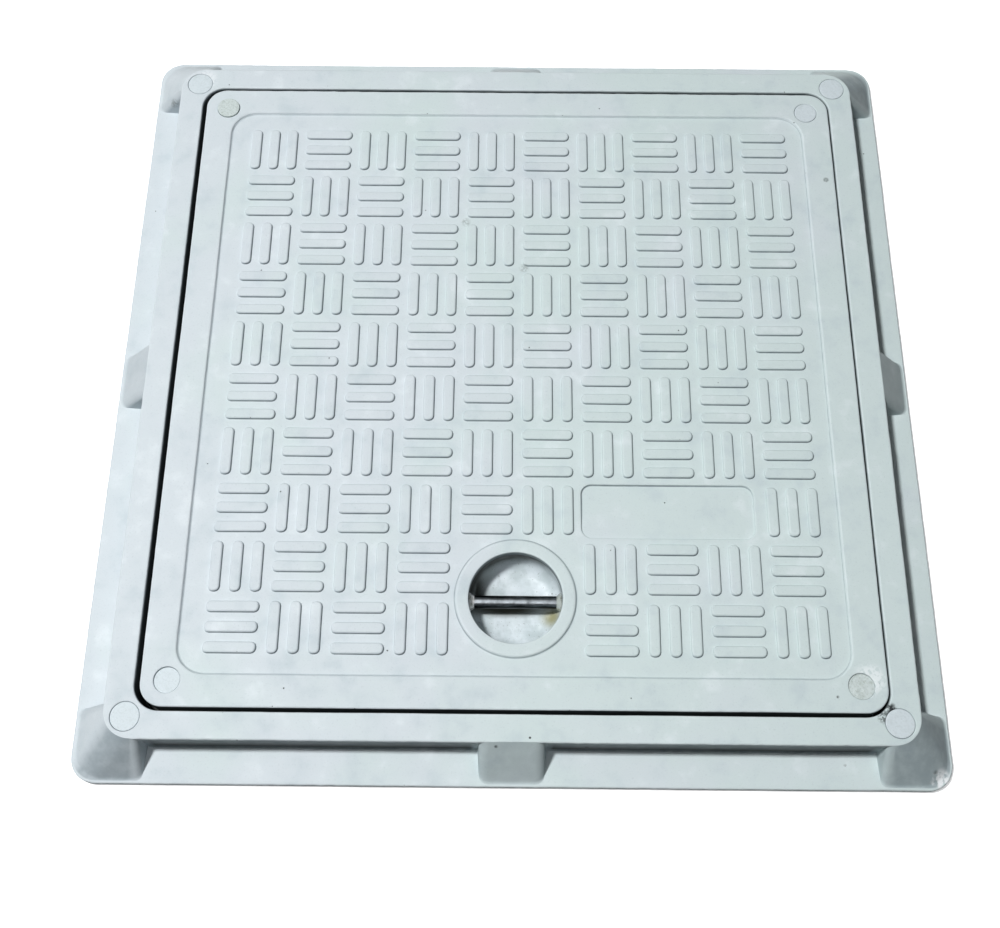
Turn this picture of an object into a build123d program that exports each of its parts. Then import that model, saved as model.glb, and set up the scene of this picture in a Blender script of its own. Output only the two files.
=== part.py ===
"""Square access cover and frame, press-moulded in glass-fibre reinforced polyester.

The cover drops into a rebate in the frame and rests on a rubber strip. It is lifted by a steel bar
that crosses a round cup near its front edge. Millimetres, +Z up. The origin is the middle of the
frame's underside, which is the plane that beds on the masonry. +Y points away from the lifting cup.
"""

from build123d import *
import math
import os

# Frame
CLEAR_OPENING = 300.0
SEAT_WIDTH = 16.6
RIM_WIDTH = 12.4
FLANGE_WIDTH = 16.7
FRAME_HEIGHT = 20.0
FLANGE_THICKNESS = 3.5
LEDGE_THICKNESS = 4.0
OPENING_CORNER_RADIUS = 8.0
REBATE_CORNER_RADIUS = 12.0
RIM_CORNER_RADIUS = 13.0
FLANGE_CORNER_RADIUS = 12.0
EDGE_RADIUS = 0.8
END_CHAMFER = 0.2

# Ramps moulded between the rim and the flange
RAMP_TOE_MARGIN = 2.0
CORNER_RAMP_REACH = 33.0
SIDE_RAMP_WIDTH = 29.0
RAMP_EDGE_RADIUS = 3.5

# Hollows moulded up into the rim from below, with webs between them
CORE_WALL = 3.4
CORE_ROOF = 4.5
CORE_WEB = 5.0
CORE_COUNT = 5
CORE_CORNER_LAND = 24.0

# Rubber strip on the seat
GASKET_THICKNESS = 1.5
GASKET_MARGIN = 1.0

# Cover
COVER_CLEARANCE = 1.6
COVER_REST_X = 0.75
COVER_REST_Y = 0.2
COVER_CORNER_RADIUS = 10.5
SKIN_THICKNESS = 5.0
COVER_BORDER = 14.5
PANEL_CORNER_RADIUS = 13.0
PANEL_DEPTH = 1.2

# Ribs under the cover, level with the underside of its edge
RIB_CLEARANCE = 4.0
RIB_THICKNESS = 4.0
RIB_CELLS = 8
RIB_CORNER_RADIUS = 3.0

# Tread: blocks of three bars, laid along and across by turns
TREAD_GAP = 4.5
TREAD_MARGIN = 10.0
TREAD_OFFSET_X = 1.0
TREAD_OFFSET_Y = -0.45
BAR_LENGTH = 24.0
BAR_WIDTH = 5.2
BAR_COUNT = 3
BAR_CORNER_RADIUS = 2.2
BAR_DRAFT = 25.0

# Blank sunk panel in the tread
PLATE_WIDTH = 80.5
PLATE_LENGTH = 26.5
PLATE_INSET_X = 93.8
PLATE_INSET_Y = 93.0
PLATE_CORNER_RADIUS = 5.0
PLATE_DEPTH = 0.9

# Lifting cup, bar and the resin that holds them
CUP_CENTRE_X = 0.5
CUP_MOUTH_RADIUS = 21.3
CUP_WALL = 2.2
CUP_FLOOR = 1.8
CUP_UNDERSIDE = 2.0
CUP_CLEARANCE = 0.2
CUP_BOWL_RADIUS = 5.0
RING_WIDTH = 6.3
RING_INSET = 23.3
BOSS_WALL = 3.5
LIP_THICKNESS = 4.0
LIFT_BAR_RADIUS = 3.0
LIFT_BAR_EMBEDMENT = 5.0
BOND_THICKNESS = 1.0
BOND_COVER = 0.6
BOND_COLLAR = 2.5

# Round plugs in the corners of the cover and of the rim
COVER_PLUG_RADIUS = 5.8
COVER_PLUG_DEPTH = 3.0
COVER_PLUG_INSET = 11.8
FRAME_PLUG_RADIUS = 6.5
FRAME_PLUG_DEPTH = 4.0
COVER_PLUG_PROUD = {"back_left": 0.9, "back_right": 0.1, "front_left": -0.3, "front_right": -0.4}
FRAME_PLUG_PROUD = {"back_left": 0.1, "back_right": 0.1, "front_left": -0.2, "front_right": 0.1}

CORNERS = {"back_left": (-1, 1), "back_right": (1, 1), "front_left": (-1, -1), "front_right": (1, -1)}
SIDES = {"right": 1, "left": -1}

# Sizes that follow
REBATE_SIZE = CLEAR_OPENING + 2 * SEAT_WIDTH
RIM_SIZE = REBATE_SIZE + 2 * RIM_WIDTH
FLANGE_SIZE = RIM_SIZE + 2 * FLANGE_WIDTH
SEAT_HEIGHT = LEDGE_THICKNESS + GASKET_THICKNESS
COVER_SIZE = REBATE_SIZE - 2 * COVER_CLEARANCE
COVER_THICKNESS = FRAME_HEIGHT - SEAT_HEIGHT
PANEL_SIZE = COVER_SIZE - 2 * COVER_BORDER
PANEL_HEIGHT = FRAME_HEIGHT - PANEL_DEPTH
BAR_PITCH = (BAR_LENGTH - BAR_WIDTH) / (BAR_COUNT - 1)
TREAD_PITCH = BAR_LENGTH + TREAD_GAP
TREAD_CELLS = 1 + int((PANEL_SIZE - 2 * TREAD_MARGIN - BAR_LENGTH) // TREAD_PITCH)
PLATE_CENTRE_X = COVER_SIZE / 2 - PLATE_INSET_X
PLATE_CENTRE_Y = PLATE_INSET_Y - COVER_SIZE / 2
SKIN_UNDERSIDE = FRAME_HEIGHT - SKIN_THICKNESS
RIB_FIELD = CLEAR_OPENING - 2 * RIB_CLEARANCE
RIB_PITCH = (RIB_FIELD - RIB_THICKNESS) / RIB_CELLS
RIB_POCKET = RIB_PITCH - RIB_THICKNESS
CORE_PITCH = (REBATE_SIZE - 2 * CORE_CORNER_LAND) / CORE_COUNT
RING_RADIUS = CUP_MOUTH_RADIUS + RING_WIDTH
CUP_CENTRE_Y = RING_INSET + RING_RADIUS - COVER_SIZE / 2
CUP_X = COVER_REST_X + CUP_CENTRE_X
CUP_Y = COVER_REST_Y + CUP_CENTRE_Y
CUP_TOP = FRAME_HEIGHT - LIP_THICKNESS
CUP_OUTER_RADIUS = CUP_MOUTH_RADIUS + CUP_WALL
CUP_BORE_RADIUS = CUP_OUTER_RADIUS + CUP_CLEARANCE
CUP_FLOOR_HEIGHT = CUP_UNDERSIDE + CUP_FLOOR
BOND_RADIUS = LIFT_BAR_RADIUS + BOND_THICKNESS
LIFT_BAR_HEIGHT = CUP_TOP - BOND_COVER - BOND_RADIUS
LIFT_BAR_HALF_LENGTH = CUP_OUTER_RADIUS + LIFT_BAR_EMBEDMENT
SLOT_END = LIFT_BAR_HALF_LENGTH + BOND_COVER
BOSS_RADIUS = SLOT_END + BOSS_WALL
COVER_PLUG_OFFSET = COVER_SIZE / 2 - COVER_PLUG_INSET
CORNER_CUT = 1 - math.sqrt(0.5)
REBATE_CORNER_REACH = REBATE_SIZE / 2 - REBATE_CORNER_RADIUS * CORNER_CUT
RIM_CORNER_REACH = RIM_SIZE / 2 - RIM_CORNER_RADIUS * CORNER_CUT
FRAME_PLUG_OFFSET = (REBATE_CORNER_REACH + RIM_CORNER_REACH) / 2


def save(piece, name):
    """Label a finished piece and write it as its own STEP file."""
    piece.label = name
    export_step(piece, f"parts/{name}.step")


def is_ramp_side_edge(edge):
    """True for the sloping edges where a ramp's face meets its two flat sides."""
    middle = edge.center()
    slope = abs(edge.tangent_at(0.5).Z)
    across = min(abs(middle.X), abs(middle.Y))
    on_side_ramp = abs(across - SIDE_RAMP_WIDTH / 2) < 0.01
    on_corner_ramp = abs(across - (FLANGE_SIZE / 2 - CORNER_RAMP_REACH)) < 0.01
    return 0.2 < slope < 0.95 and (on_side_ramp or on_corner_ramp)


def make_ramps():
    """Eight ramps outside the rim: one at each corner and one in the middle of each side."""
    with BuildPart() as ramps:
        with BuildSketch(Plane.XY.offset(FLANGE_THICKNESS)):
            toe_size = FLANGE_SIZE - 2 * RAMP_TOE_MARGIN
            RectangleRounded(toe_size, toe_size, FLANGE_CORNER_RADIUS)
        with BuildSketch(Plane.XY.offset(FRAME_HEIGHT - EDGE_RADIUS)):
            RectangleRounded(RIM_SIZE, RIM_SIZE, RIM_CORNER_RADIUS)
        loft()
        with BuildSketch(Plane.XY.offset(FLANGE_THICKNESS)):
            Rectangle(FLANGE_SIZE, SIDE_RAMP_WIDTH)
            Rectangle(SIDE_RAMP_WIDTH, FLANGE_SIZE)
            corner_pitch = FLANGE_SIZE - CORNER_RAMP_REACH
            with GridLocations(corner_pitch, corner_pitch, 2, 2):
                Rectangle(CORNER_RAMP_REACH, CORNER_RAMP_REACH)
        extrude(amount=FRAME_HEIGHT, mode=Mode.INTERSECT)
        fillet(ramps.edges().filter_by(is_ramp_side_edge), radius=RAMP_EDGE_RADIUS)
    return ramps.part


def make_frame(ramps):
    """Frame: flange, rim with its rebate and seat, ramps, cored-out underside, plug sockets."""
    with BuildPart() as frame:
        with BuildSketch():
            RectangleRounded(FLANGE_SIZE, FLANGE_SIZE, FLANGE_CORNER_RADIUS)
        extrude(amount=FLANGE_THICKNESS)
        fillet(frame.edges().group_by(Axis.Z)[-1], radius=EDGE_RADIUS)
        with BuildSketch():
            RectangleRounded(RIM_SIZE, RIM_SIZE, RIM_CORNER_RADIUS)
        extrude(amount=FRAME_HEIGHT)
        fillet(frame.edges().group_by(Axis.Z)[-1], radius=EDGE_RADIUS)
        add(ramps)
        with BuildSketch(Plane.XY.offset(LEDGE_THICKNESS)):
            RectangleRounded(REBATE_SIZE, REBATE_SIZE, REBATE_CORNER_RADIUS)
        extrude(amount=FRAME_HEIGHT, mode=Mode.SUBTRACT)
        with BuildSketch():
            RectangleRounded(CLEAR_OPENING, CLEAR_OPENING, OPENING_CORNER_RADIUS)
        extrude(amount=FRAME_HEIGHT, mode=Mode.SUBTRACT)
        with BuildSketch():
            core_width = RIM_WIDTH - 2 * CORE_WALL
            core_offset = REBATE_SIZE / 2 + RIM_WIDTH / 2
            with PolarLocations(core_offset, 4):
                with GridLocations(0, CORE_PITCH, 1, CORE_COUNT):
                    RectangleRounded(core_width, CORE_PITCH - CORE_WEB, core_width / 3)
        extrude(amount=FRAME_HEIGHT - CORE_ROOF, mode=Mode.SUBTRACT)
        with BuildSketch(Plane.XY.offset(FRAME_HEIGHT - FRAME_PLUG_DEPTH)):
            with GridLocations(2 * FRAME_PLUG_OFFSET, 2 * FRAME_PLUG_OFFSET, 2, 2):
                Circle(FRAME_PLUG_RADIUS)
        extrude(amount=FRAME_HEIGHT, mode=Mode.SUBTRACT)
    save(frame.part, "frame")


def make_seat_gasket():
    """Flat rubber strip lying on the seat, under the cover's edge."""
    with BuildPart() as gasket:
        with BuildSketch(Plane.XY.offset(LEDGE_THICKNESS)):
            outer_size = REBATE_SIZE - 2 * GASKET_MARGIN
            inner_size = CLEAR_OPENING + 2 * GASKET_MARGIN
            RectangleRounded(outer_size, outer_size, REBATE_CORNER_RADIUS - GASKET_MARGIN)
            RectangleRounded(inner_size, inner_size, OPENING_CORNER_RADIUS, mode=Mode.SUBTRACT)
        extrude(amount=GASKET_THICKNESS)
    save(gasket.part, "seat_gasket")


def block_is_clear(x, y):
    """True where a whole tread block fits clear of the lifting cup's ring and the sunk panel."""
    half = BAR_LENGTH / 2
    gap_x = max(abs(x - CUP_CENTRE_X) - half, 0)
    gap_y = max(abs(y - CUP_CENTRE_Y) - half, 0)
    clear_of_cup = gap_x**2 + gap_y**2 > RING_RADIUS**2
    beside_plate = abs(x - PLATE_CENTRE_X) > half + PLATE_WIDTH / 2
    beyond_plate = abs(y - PLATE_CENTRE_Y) > half + PLATE_LENGTH / 2
    return clear_of_cup and (beside_plate or beyond_plate)


def tread_blocks():
    """Centres of the tread blocks on the cover, each with the angle that its bars are turned by."""
    blocks = []
    middle = (TREAD_CELLS - 1) / 2
    for row in range(TREAD_CELLS):
        for column in range(TREAD_CELLS):
            x = TREAD_OFFSET_X + (column - middle) * TREAD_PITCH
            y = TREAD_OFFSET_Y + (middle - row) * TREAD_PITCH
            angle = 90 * ((row + column) % 2)
            if block_is_clear(x, y):
                blocks.append(Location((x, y, 0), (0, 0, angle)))
    return blocks


def make_cover_plate():
    """Cover moulding: tread face, border, seat ring, ribs, the boss round the cup, plug sockets."""
    cover_plane = Plane((COVER_REST_X, COVER_REST_Y, SEAT_HEIGHT))
    panel_plane = cover_plane.offset(PANEL_HEIGHT - SEAT_HEIGHT)
    top_plane = cover_plane.offset(COVER_THICKNESS)
    with BuildPart() as cover:
        with BuildSketch(cover_plane):
            RectangleRounded(COVER_SIZE, COVER_SIZE, COVER_CORNER_RADIUS)
        extrude(amount=COVER_THICKNESS)
        fillet(cover.edges().group_by(Axis.Z)[-1], radius=EDGE_RADIUS)
        with BuildSketch(cover_plane):
            with GridLocations(RIB_PITCH, RIB_PITCH, RIB_CELLS, RIB_CELLS):
                RectangleRounded(RIB_POCKET, RIB_POCKET, RIB_CORNER_RADIUS)
            with Locations((CUP_CENTRE_X, CUP_CENTRE_Y)):
                Circle(BOSS_RADIUS, mode=Mode.SUBTRACT)
        extrude(amount=SKIN_UNDERSIDE - SEAT_HEIGHT, mode=Mode.SUBTRACT)
        with BuildSketch(panel_plane):
            RectangleRounded(PANEL_SIZE, PANEL_SIZE, PANEL_CORNER_RADIUS)
            with Locations((CUP_CENTRE_X, CUP_CENTRE_Y)):
                Circle(RING_RADIUS, mode=Mode.SUBTRACT)
        extrude(amount=FRAME_HEIGHT, mode=Mode.SUBTRACT)
        with BuildSketch(panel_plane.offset(-PLATE_DEPTH)):
            with Locations((PLATE_CENTRE_X, PLATE_CENTRE_Y)):
                RectangleRounded(PLATE_WIDTH, PLATE_LENGTH, PLATE_CORNER_RADIUS)
        extrude(amount=FRAME_HEIGHT, mode=Mode.SUBTRACT)
        with BuildSketch(cover_plane):
            with Locations((CUP_CENTRE_X, CUP_CENTRE_Y)):
                Circle(CUP_BORE_RADIUS)
                Rectangle(2 * SLOT_END, 2 * BOND_RADIUS)
        extrude(amount=CUP_TOP - SEAT_HEIGHT, mode=Mode.SUBTRACT)
        with BuildSketch(cover_plane):
            with Locations((CUP_CENTRE_X, CUP_CENTRE_Y)):
                Circle(CUP_MOUTH_RADIUS)
        extrude(amount=FRAME_HEIGHT, mode=Mode.SUBTRACT)
        with BuildSketch(top_plane.offset(-COVER_PLUG_DEPTH)):
            with GridLocations(2 * COVER_PLUG_OFFSET, 2 * COVER_PLUG_OFFSET, 2, 2):
                Circle(COVER_PLUG_RADIUS)
        extrude(amount=FRAME_HEIGHT, mode=Mode.SUBTRACT)
        with BuildSketch(panel_plane):
            with Locations(tread_blocks()):
                with GridLocations(BAR_PITCH, 0, BAR_COUNT, 1):
                    RectangleRounded(BAR_WIDTH, BAR_LENGTH, BAR_CORNER_RADIUS)
        extrude(amount=PANEL_DEPTH, taper=BAR_DRAFT)
    save(cover.part, "cover_plate")


def make_lift_cup():
    """Deep round cup bonded up into the cover's boss, drilled on both sides for the bar's resin."""
    with BuildPart() as cup:
        with BuildSketch(Plane((CUP_X, CUP_Y, CUP_UNDERSIDE))):
            Circle(CUP_OUTER_RADIUS)
        extrude(amount=CUP_TOP - CUP_UNDERSIDE)
        fillet(cup.edges().group_by(Axis.Z)[0], radius=CUP_WALL)
        with BuildSketch(Plane((CUP_X, CUP_Y, CUP_FLOOR_HEIGHT))):
            Circle(CUP_MOUTH_RADIUS)
        extrude(amount=FRAME_HEIGHT, mode=Mode.SUBTRACT)
        low, high = CUP_FLOOR_HEIGHT - 0.01, CUP_FLOOR_HEIGHT + 0.01
        fillet(cup.edges().filter_by_position(Axis.Z, low, high), radius=CUP_BOWL_RADIUS)
        with BuildSketch(Plane((CUP_X, CUP_Y, LIFT_BAR_HEIGHT), x_dir=(0, 1, 0), z_dir=(1, 0, 0))):
            Circle(BOND_RADIUS)
        extrude(amount=CUP_OUTER_RADIUS, both=True, mode=Mode.SUBTRACT)
    save(cup.part, "lift_cup")


def make_lift_bar():
    """Round steel bar across the cup, with its ends in the boss's slots."""
    with BuildPart() as bar:
        with BuildSketch(Plane((CUP_X, CUP_Y, LIFT_BAR_HEIGHT), x_dir=(0, 1, 0), z_dir=(1, 0, 0))):
            Circle(LIFT_BAR_RADIUS)
        extrude(amount=LIFT_BAR_HALF_LENGTH, both=True)
        chamfer(bar.edges(), length=END_CHAMFER)
    save(bar.part, "lift_bar")


def make_bar_bond(side):
    """Resin that fills one slot of the boss round the bar's end and stands out into the cup."""
    direction = SIDES[side]
    collar_start = CUP_MOUTH_RADIUS - BOND_COLLAR
    collar_end = CUP_BORE_RADIUS + CUP_CLEARANCE
    with BuildPart() as bond:
        with BuildSketch(Plane((CUP_X, CUP_Y, SEAT_HEIGHT))):
            with Locations((direction * SLOT_END / 2, 0)):
                Rectangle(SLOT_END, 2 * BOND_RADIUS)
            Circle(CUP_BORE_RADIUS, mode=Mode.SUBTRACT)
        extrude(amount=CUP_TOP - SEAT_HEIGHT)
        bar_start = (CUP_X + direction * collar_start, CUP_Y, LIFT_BAR_HEIGHT)
        with BuildSketch(Plane(bar_start, x_dir=(0, 1, 0), z_dir=(direction, 0, 0))):
            Circle(BOND_RADIUS)
        extrude(amount=collar_end - collar_start)
        collar_edge = bond.edges().sort_by(Axis.X)[0 if direction > 0 else -1]
        fillet(collar_edge, radius=EDGE_RADIUS)
        with BuildSketch(Plane(bar_start, x_dir=(0, 1, 0), z_dir=(direction, 0, 0))):
            Circle(LIFT_BAR_RADIUS)
        extrude(amount=LIFT_BAR_HALF_LENGTH - collar_start, mode=Mode.SUBTRACT)
    save(bond.part, f"bar_bond_{side}")


def make_plug(name, centre, radius, depth, proud):
    """Round plug in a blind socket of the given depth, standing proud of the top or sunk in it."""
    with BuildPart() as plug:
        with BuildSketch(Plane((centre[0], centre[1], FRAME_HEIGHT - depth))):
            Circle(radius)
        extrude(amount=depth + proud)
        chamfer(plug.edges().group_by(Axis.Z)[-1], length=END_CHAMFER)
    save(plug.part, name)


os.makedirs("parts", exist_ok=True)
make_frame(make_ramps())
make_seat_gasket()
make_cover_plate()
make_lift_cup()
make_lift_bar()
for side in SIDES:
    make_bar_bond(side)
for corner, (right, back) in CORNERS.items():
    cover_centre = (COVER_REST_X + right * COVER_PLUG_OFFSET, COVER_REST_Y + back * COVER_PLUG_OFFSET)
    frame_centre = (right * FRAME_PLUG_OFFSET, back * FRAME_PLUG_OFFSET)
    cover_proud = COVER_PLUG_PROUD[corner]
    frame_proud = FRAME_PLUG_PROUD[corner]
    make_plug(f"cover_plug_{corner}", cover_centre, COVER_PLUG_RADIUS, COVER_PLUG_DEPTH, cover_proud)
    make_plug(f"frame_plug_{corner}", frame_centre, FRAME_PLUG_RADIUS, FRAME_PLUG_DEPTH, frame_proud)
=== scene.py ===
"""Looks of a square composite access cover in its frame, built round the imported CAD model.

Every piece is a skin worked out with numpy in millimetres, in the CAD model's own frame: closed outlines
carried through an edge's cross-section, flats laid between outlines, and small shapes repeated over a grid.
"""

from __future__ import annotations

import logging
import math
from dataclasses import dataclass, field
from enum import Enum
from typing import Mapping, Sequence

import bmesh
import bpy
import numpy as np
from mathutils import Matrix, Vector
from mathutils.geometry import delaunay_2d_cdt

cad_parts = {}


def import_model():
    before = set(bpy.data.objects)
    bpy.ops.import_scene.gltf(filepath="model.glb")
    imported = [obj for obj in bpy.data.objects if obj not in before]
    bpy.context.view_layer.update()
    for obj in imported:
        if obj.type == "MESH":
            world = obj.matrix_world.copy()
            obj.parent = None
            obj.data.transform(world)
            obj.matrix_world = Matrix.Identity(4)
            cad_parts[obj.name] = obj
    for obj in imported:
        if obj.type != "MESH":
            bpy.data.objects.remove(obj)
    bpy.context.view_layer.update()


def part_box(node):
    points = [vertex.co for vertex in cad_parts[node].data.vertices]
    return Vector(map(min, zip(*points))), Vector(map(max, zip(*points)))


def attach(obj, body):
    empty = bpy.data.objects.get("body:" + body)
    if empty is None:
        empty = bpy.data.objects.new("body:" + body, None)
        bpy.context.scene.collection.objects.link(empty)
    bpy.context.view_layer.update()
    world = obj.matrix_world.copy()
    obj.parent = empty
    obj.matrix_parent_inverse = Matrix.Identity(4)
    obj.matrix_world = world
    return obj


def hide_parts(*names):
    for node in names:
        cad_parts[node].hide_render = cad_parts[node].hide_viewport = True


LOG = logging.getLogger("access_cover")
MM = 0.001
Array = np.ndarray


class Slot(Enum):
    """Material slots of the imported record."""

    FRAME = "frame_moulding"
    COVER = "cover_moulding"
    CUP = "cup_moulding"
    PLUG = "plug_filler"
    BOND = "bond_resin"
    BAR = "bar_steel"
    GASKET = "gasket_rubber"


class Body(Enum):
    """The two bodies of the CAD model."""

    FRAME = "frame_body"
    COVER = "cover_body"


class Corner(Enum):
    """Corners of the cover and frame, each with its direction to the right and to the back."""

    BACK_LEFT = (-1, 1)
    BACK_RIGHT = (1, 1)
    FRONT_LEFT = (-1, -1)
    FRONT_RIGHT = (1, -1)


@dataclass(frozen=True)
class Extent:
    """A CAD node's box at rest, in millimetres."""

    low: Array
    high: Array

    @classmethod
    def of(cls, node: str) -> Extent:
        """Read a CAD node's box.

        Args:
            node: the node's name.

        Returns:
            The box.
        """
        low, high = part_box(node)
        return cls(np.array(low) / MM, np.array(high) / MM)

    @property
    def centre(self) -> Array:
        """Middle of the box."""
        return (self.low + self.high) / 2

    @property
    def half(self) -> Array:
        """Half of the box's size along each axis."""
        return (self.high - self.low) / 2


# ---------------------------------------------------------------- outlines and fields


def rounded_rectangle(
    half_x: float, half_y: float, radius: float, corner_steps: int, side_steps: int = 1
) -> Array:
    """Lay out a rectangle with round corners as a closed anticlockwise outline.

    Each corner is a quarter circle about its own centre, and each side is cut into equal steps.

    Args:
        half_x: half of the length along X.
        half_y: half of the length along Y.
        radius: corner radius.
        corner_steps: steps in each quarter circle.
        side_steps: steps along each straight side.

    Returns:
        Points of shape (N, 2).
    """
    signs = np.array([(1, 1), (-1, 1), (-1, -1), (1, -1)], float)
    middles = signs * (half_x - radius, half_y - radius)
    turn = np.arange(4)[:, None] * math.pi / 2 + np.linspace(0, math.pi / 2, corner_steps + 1)
    arcs = middles[:, None] + radius * np.stack((np.cos(turn), np.sin(turn)), -1)
    share = np.linspace(0, 1, side_steps + 1)[1:-1, None]
    ends, starts = arcs[:, None, -1], np.roll(arcs[:, None, 0], -1, axis=0)
    sides = ends * (1 - share) + starts * share
    return np.concatenate((arcs, sides), axis=1).reshape(-1, 2)


def circle(radius: float, steps: int) -> Array:
    """Lay out a circle about the origin: r cos(t), r sin(t), anticlockwise.

    Args:
        radius: the circle's radius.
        steps: how many points it has.

    Returns:
        Points of shape (steps, 2).
    """
    turn = np.linspace(0, 2 * math.pi, steps, endpoint=False)
    return radius * np.stack((np.cos(turn), np.sin(turn)), -1)


def grown(outline: Array, distance: float | Array) -> Array:
    """Move a closed outline outwards by a distance, square to its sides.

    A point moves by d (n1 + n2) / (1 + n1.n2), where n1 and n2 are the normals of the sides that meet
    there, which keeps both sides parallel to where they were.

    Args:
        outline: closed anticlockwise points of shape (N, 2).
        distance: how far to move, negative for inwards.

    Returns:
        The moved points, of the same shape.
    """
    step = np.roll(outline, -1, axis=0) - outline
    length = np.linalg.norm(step, axis=1, keepdims=True)
    normal = np.stack((step[:, 1], -step[:, 0]), -1) / np.maximum(length, 1e-9)
    before = np.roll(normal, 1, axis=0)
    return outline + distance * (normal + before) / (1 + np.sum(normal * before, axis=1, keepdims=True))


def bitten(outline: Array, centre: Sequence[float], radius: float, steps: int = 24) -> Array:
    """Cut a round bite out of an outline.

    The points inside the circle give way to an arc of it, taken the short way between the two places
    where the outline crosses the circle.

    Args:
        outline: closed anticlockwise points of shape (N, 2).
        centre: centre of the bite.
        radius: radius of the bite.
        steps: steps along the new arc.

    Returns:
        The new closed outline.
    """
    away = outline - np.asarray(centre)
    outside = np.hypot(*away.T) > radius
    first = int(np.flatnonzero(outside & ~np.roll(outside, 1))[0])
    kept = np.roll(outline, -first, axis=0)[: int(outside.sum())]
    start, end = (math.atan2(*(p - centre)[::-1]) for p in (kept[-1], kept[0]))
    turn = start + np.linspace(0, 1, steps) * ((end - start + math.pi) % (2 * math.pi) - math.pi)
    arc = np.asarray(centre) + radius * np.stack((np.cos(turn), np.sin(turn)), -1)
    return np.concatenate((kept, arc))


def raised(outline: Array, heights: float | Array) -> Array:
    """Give an outline its height.

    Args:
        outline: points of shape (..., 2).
        heights: one height, or one for each point.

    Returns:
        Points of shape (..., 3).
    """
    height = np.broadcast_to(np.asarray(heights, float), outline.shape[:-1])
    return np.concatenate((outline, height[..., None]), axis=-1)


def waves(points: Array, seed: int, length: float, count: int = 7) -> Array:
    """Evaluate a smooth uneven field: a sum of sine waves in seeded directions, between about -1 and 1.

    Args:
        points: places of shape (..., 3).
        seed: seed of the directions and phases.
        length: middle wavelength in millimetres.
        count: how many waves are added.

    Returns:
        One value for each point.
    """
    draw = np.random.default_rng(seed)
    ways = draw.normal(size=(count, 3))
    pace = (2 * math.pi / length) * draw.uniform(0.6, 1.6, (count, 1))
    ways *= pace / np.linalg.norm(ways, axis=1, keepdims=True)
    phase = draw.uniform(0, 2 * math.pi, count)
    return np.sin(points @ ways.T + phase).sum(-1) * (1.4 / count)


# ---------------------------------------------------------------- skins


@dataclass(frozen=True)
class Section:
    """Cross-section of an edge, ring by ring: how far out and how high, and its rubbing and painted shade
    there.

    The tone is 1 on an edge that is rubbed pale, below 0 where shade is painted into a corner, a recess
    or the foot of a wall, and 0 elsewhere. The first and last rings have none, so that none of it spreads
    over the flats beside them.
    """

    out: tuple[float, ...]
    up: tuple[float, ...]
    wear: tuple[float, ...]

    def along(self, outline: Array, height: float = 0.0) -> Array:
        """Carry the section along an outline: each ring is the outline grown by one step and raised.

        Args:
            outline: closed anticlockwise points of shape (N, 2).
            height: height that the section's own heights are counted from.

        Returns:
            Rings of shape (R, N, 3).
        """
        return np.stack([raised(grown(outline, out), height + up) for out, up in zip(self.out, self.up)])


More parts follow.
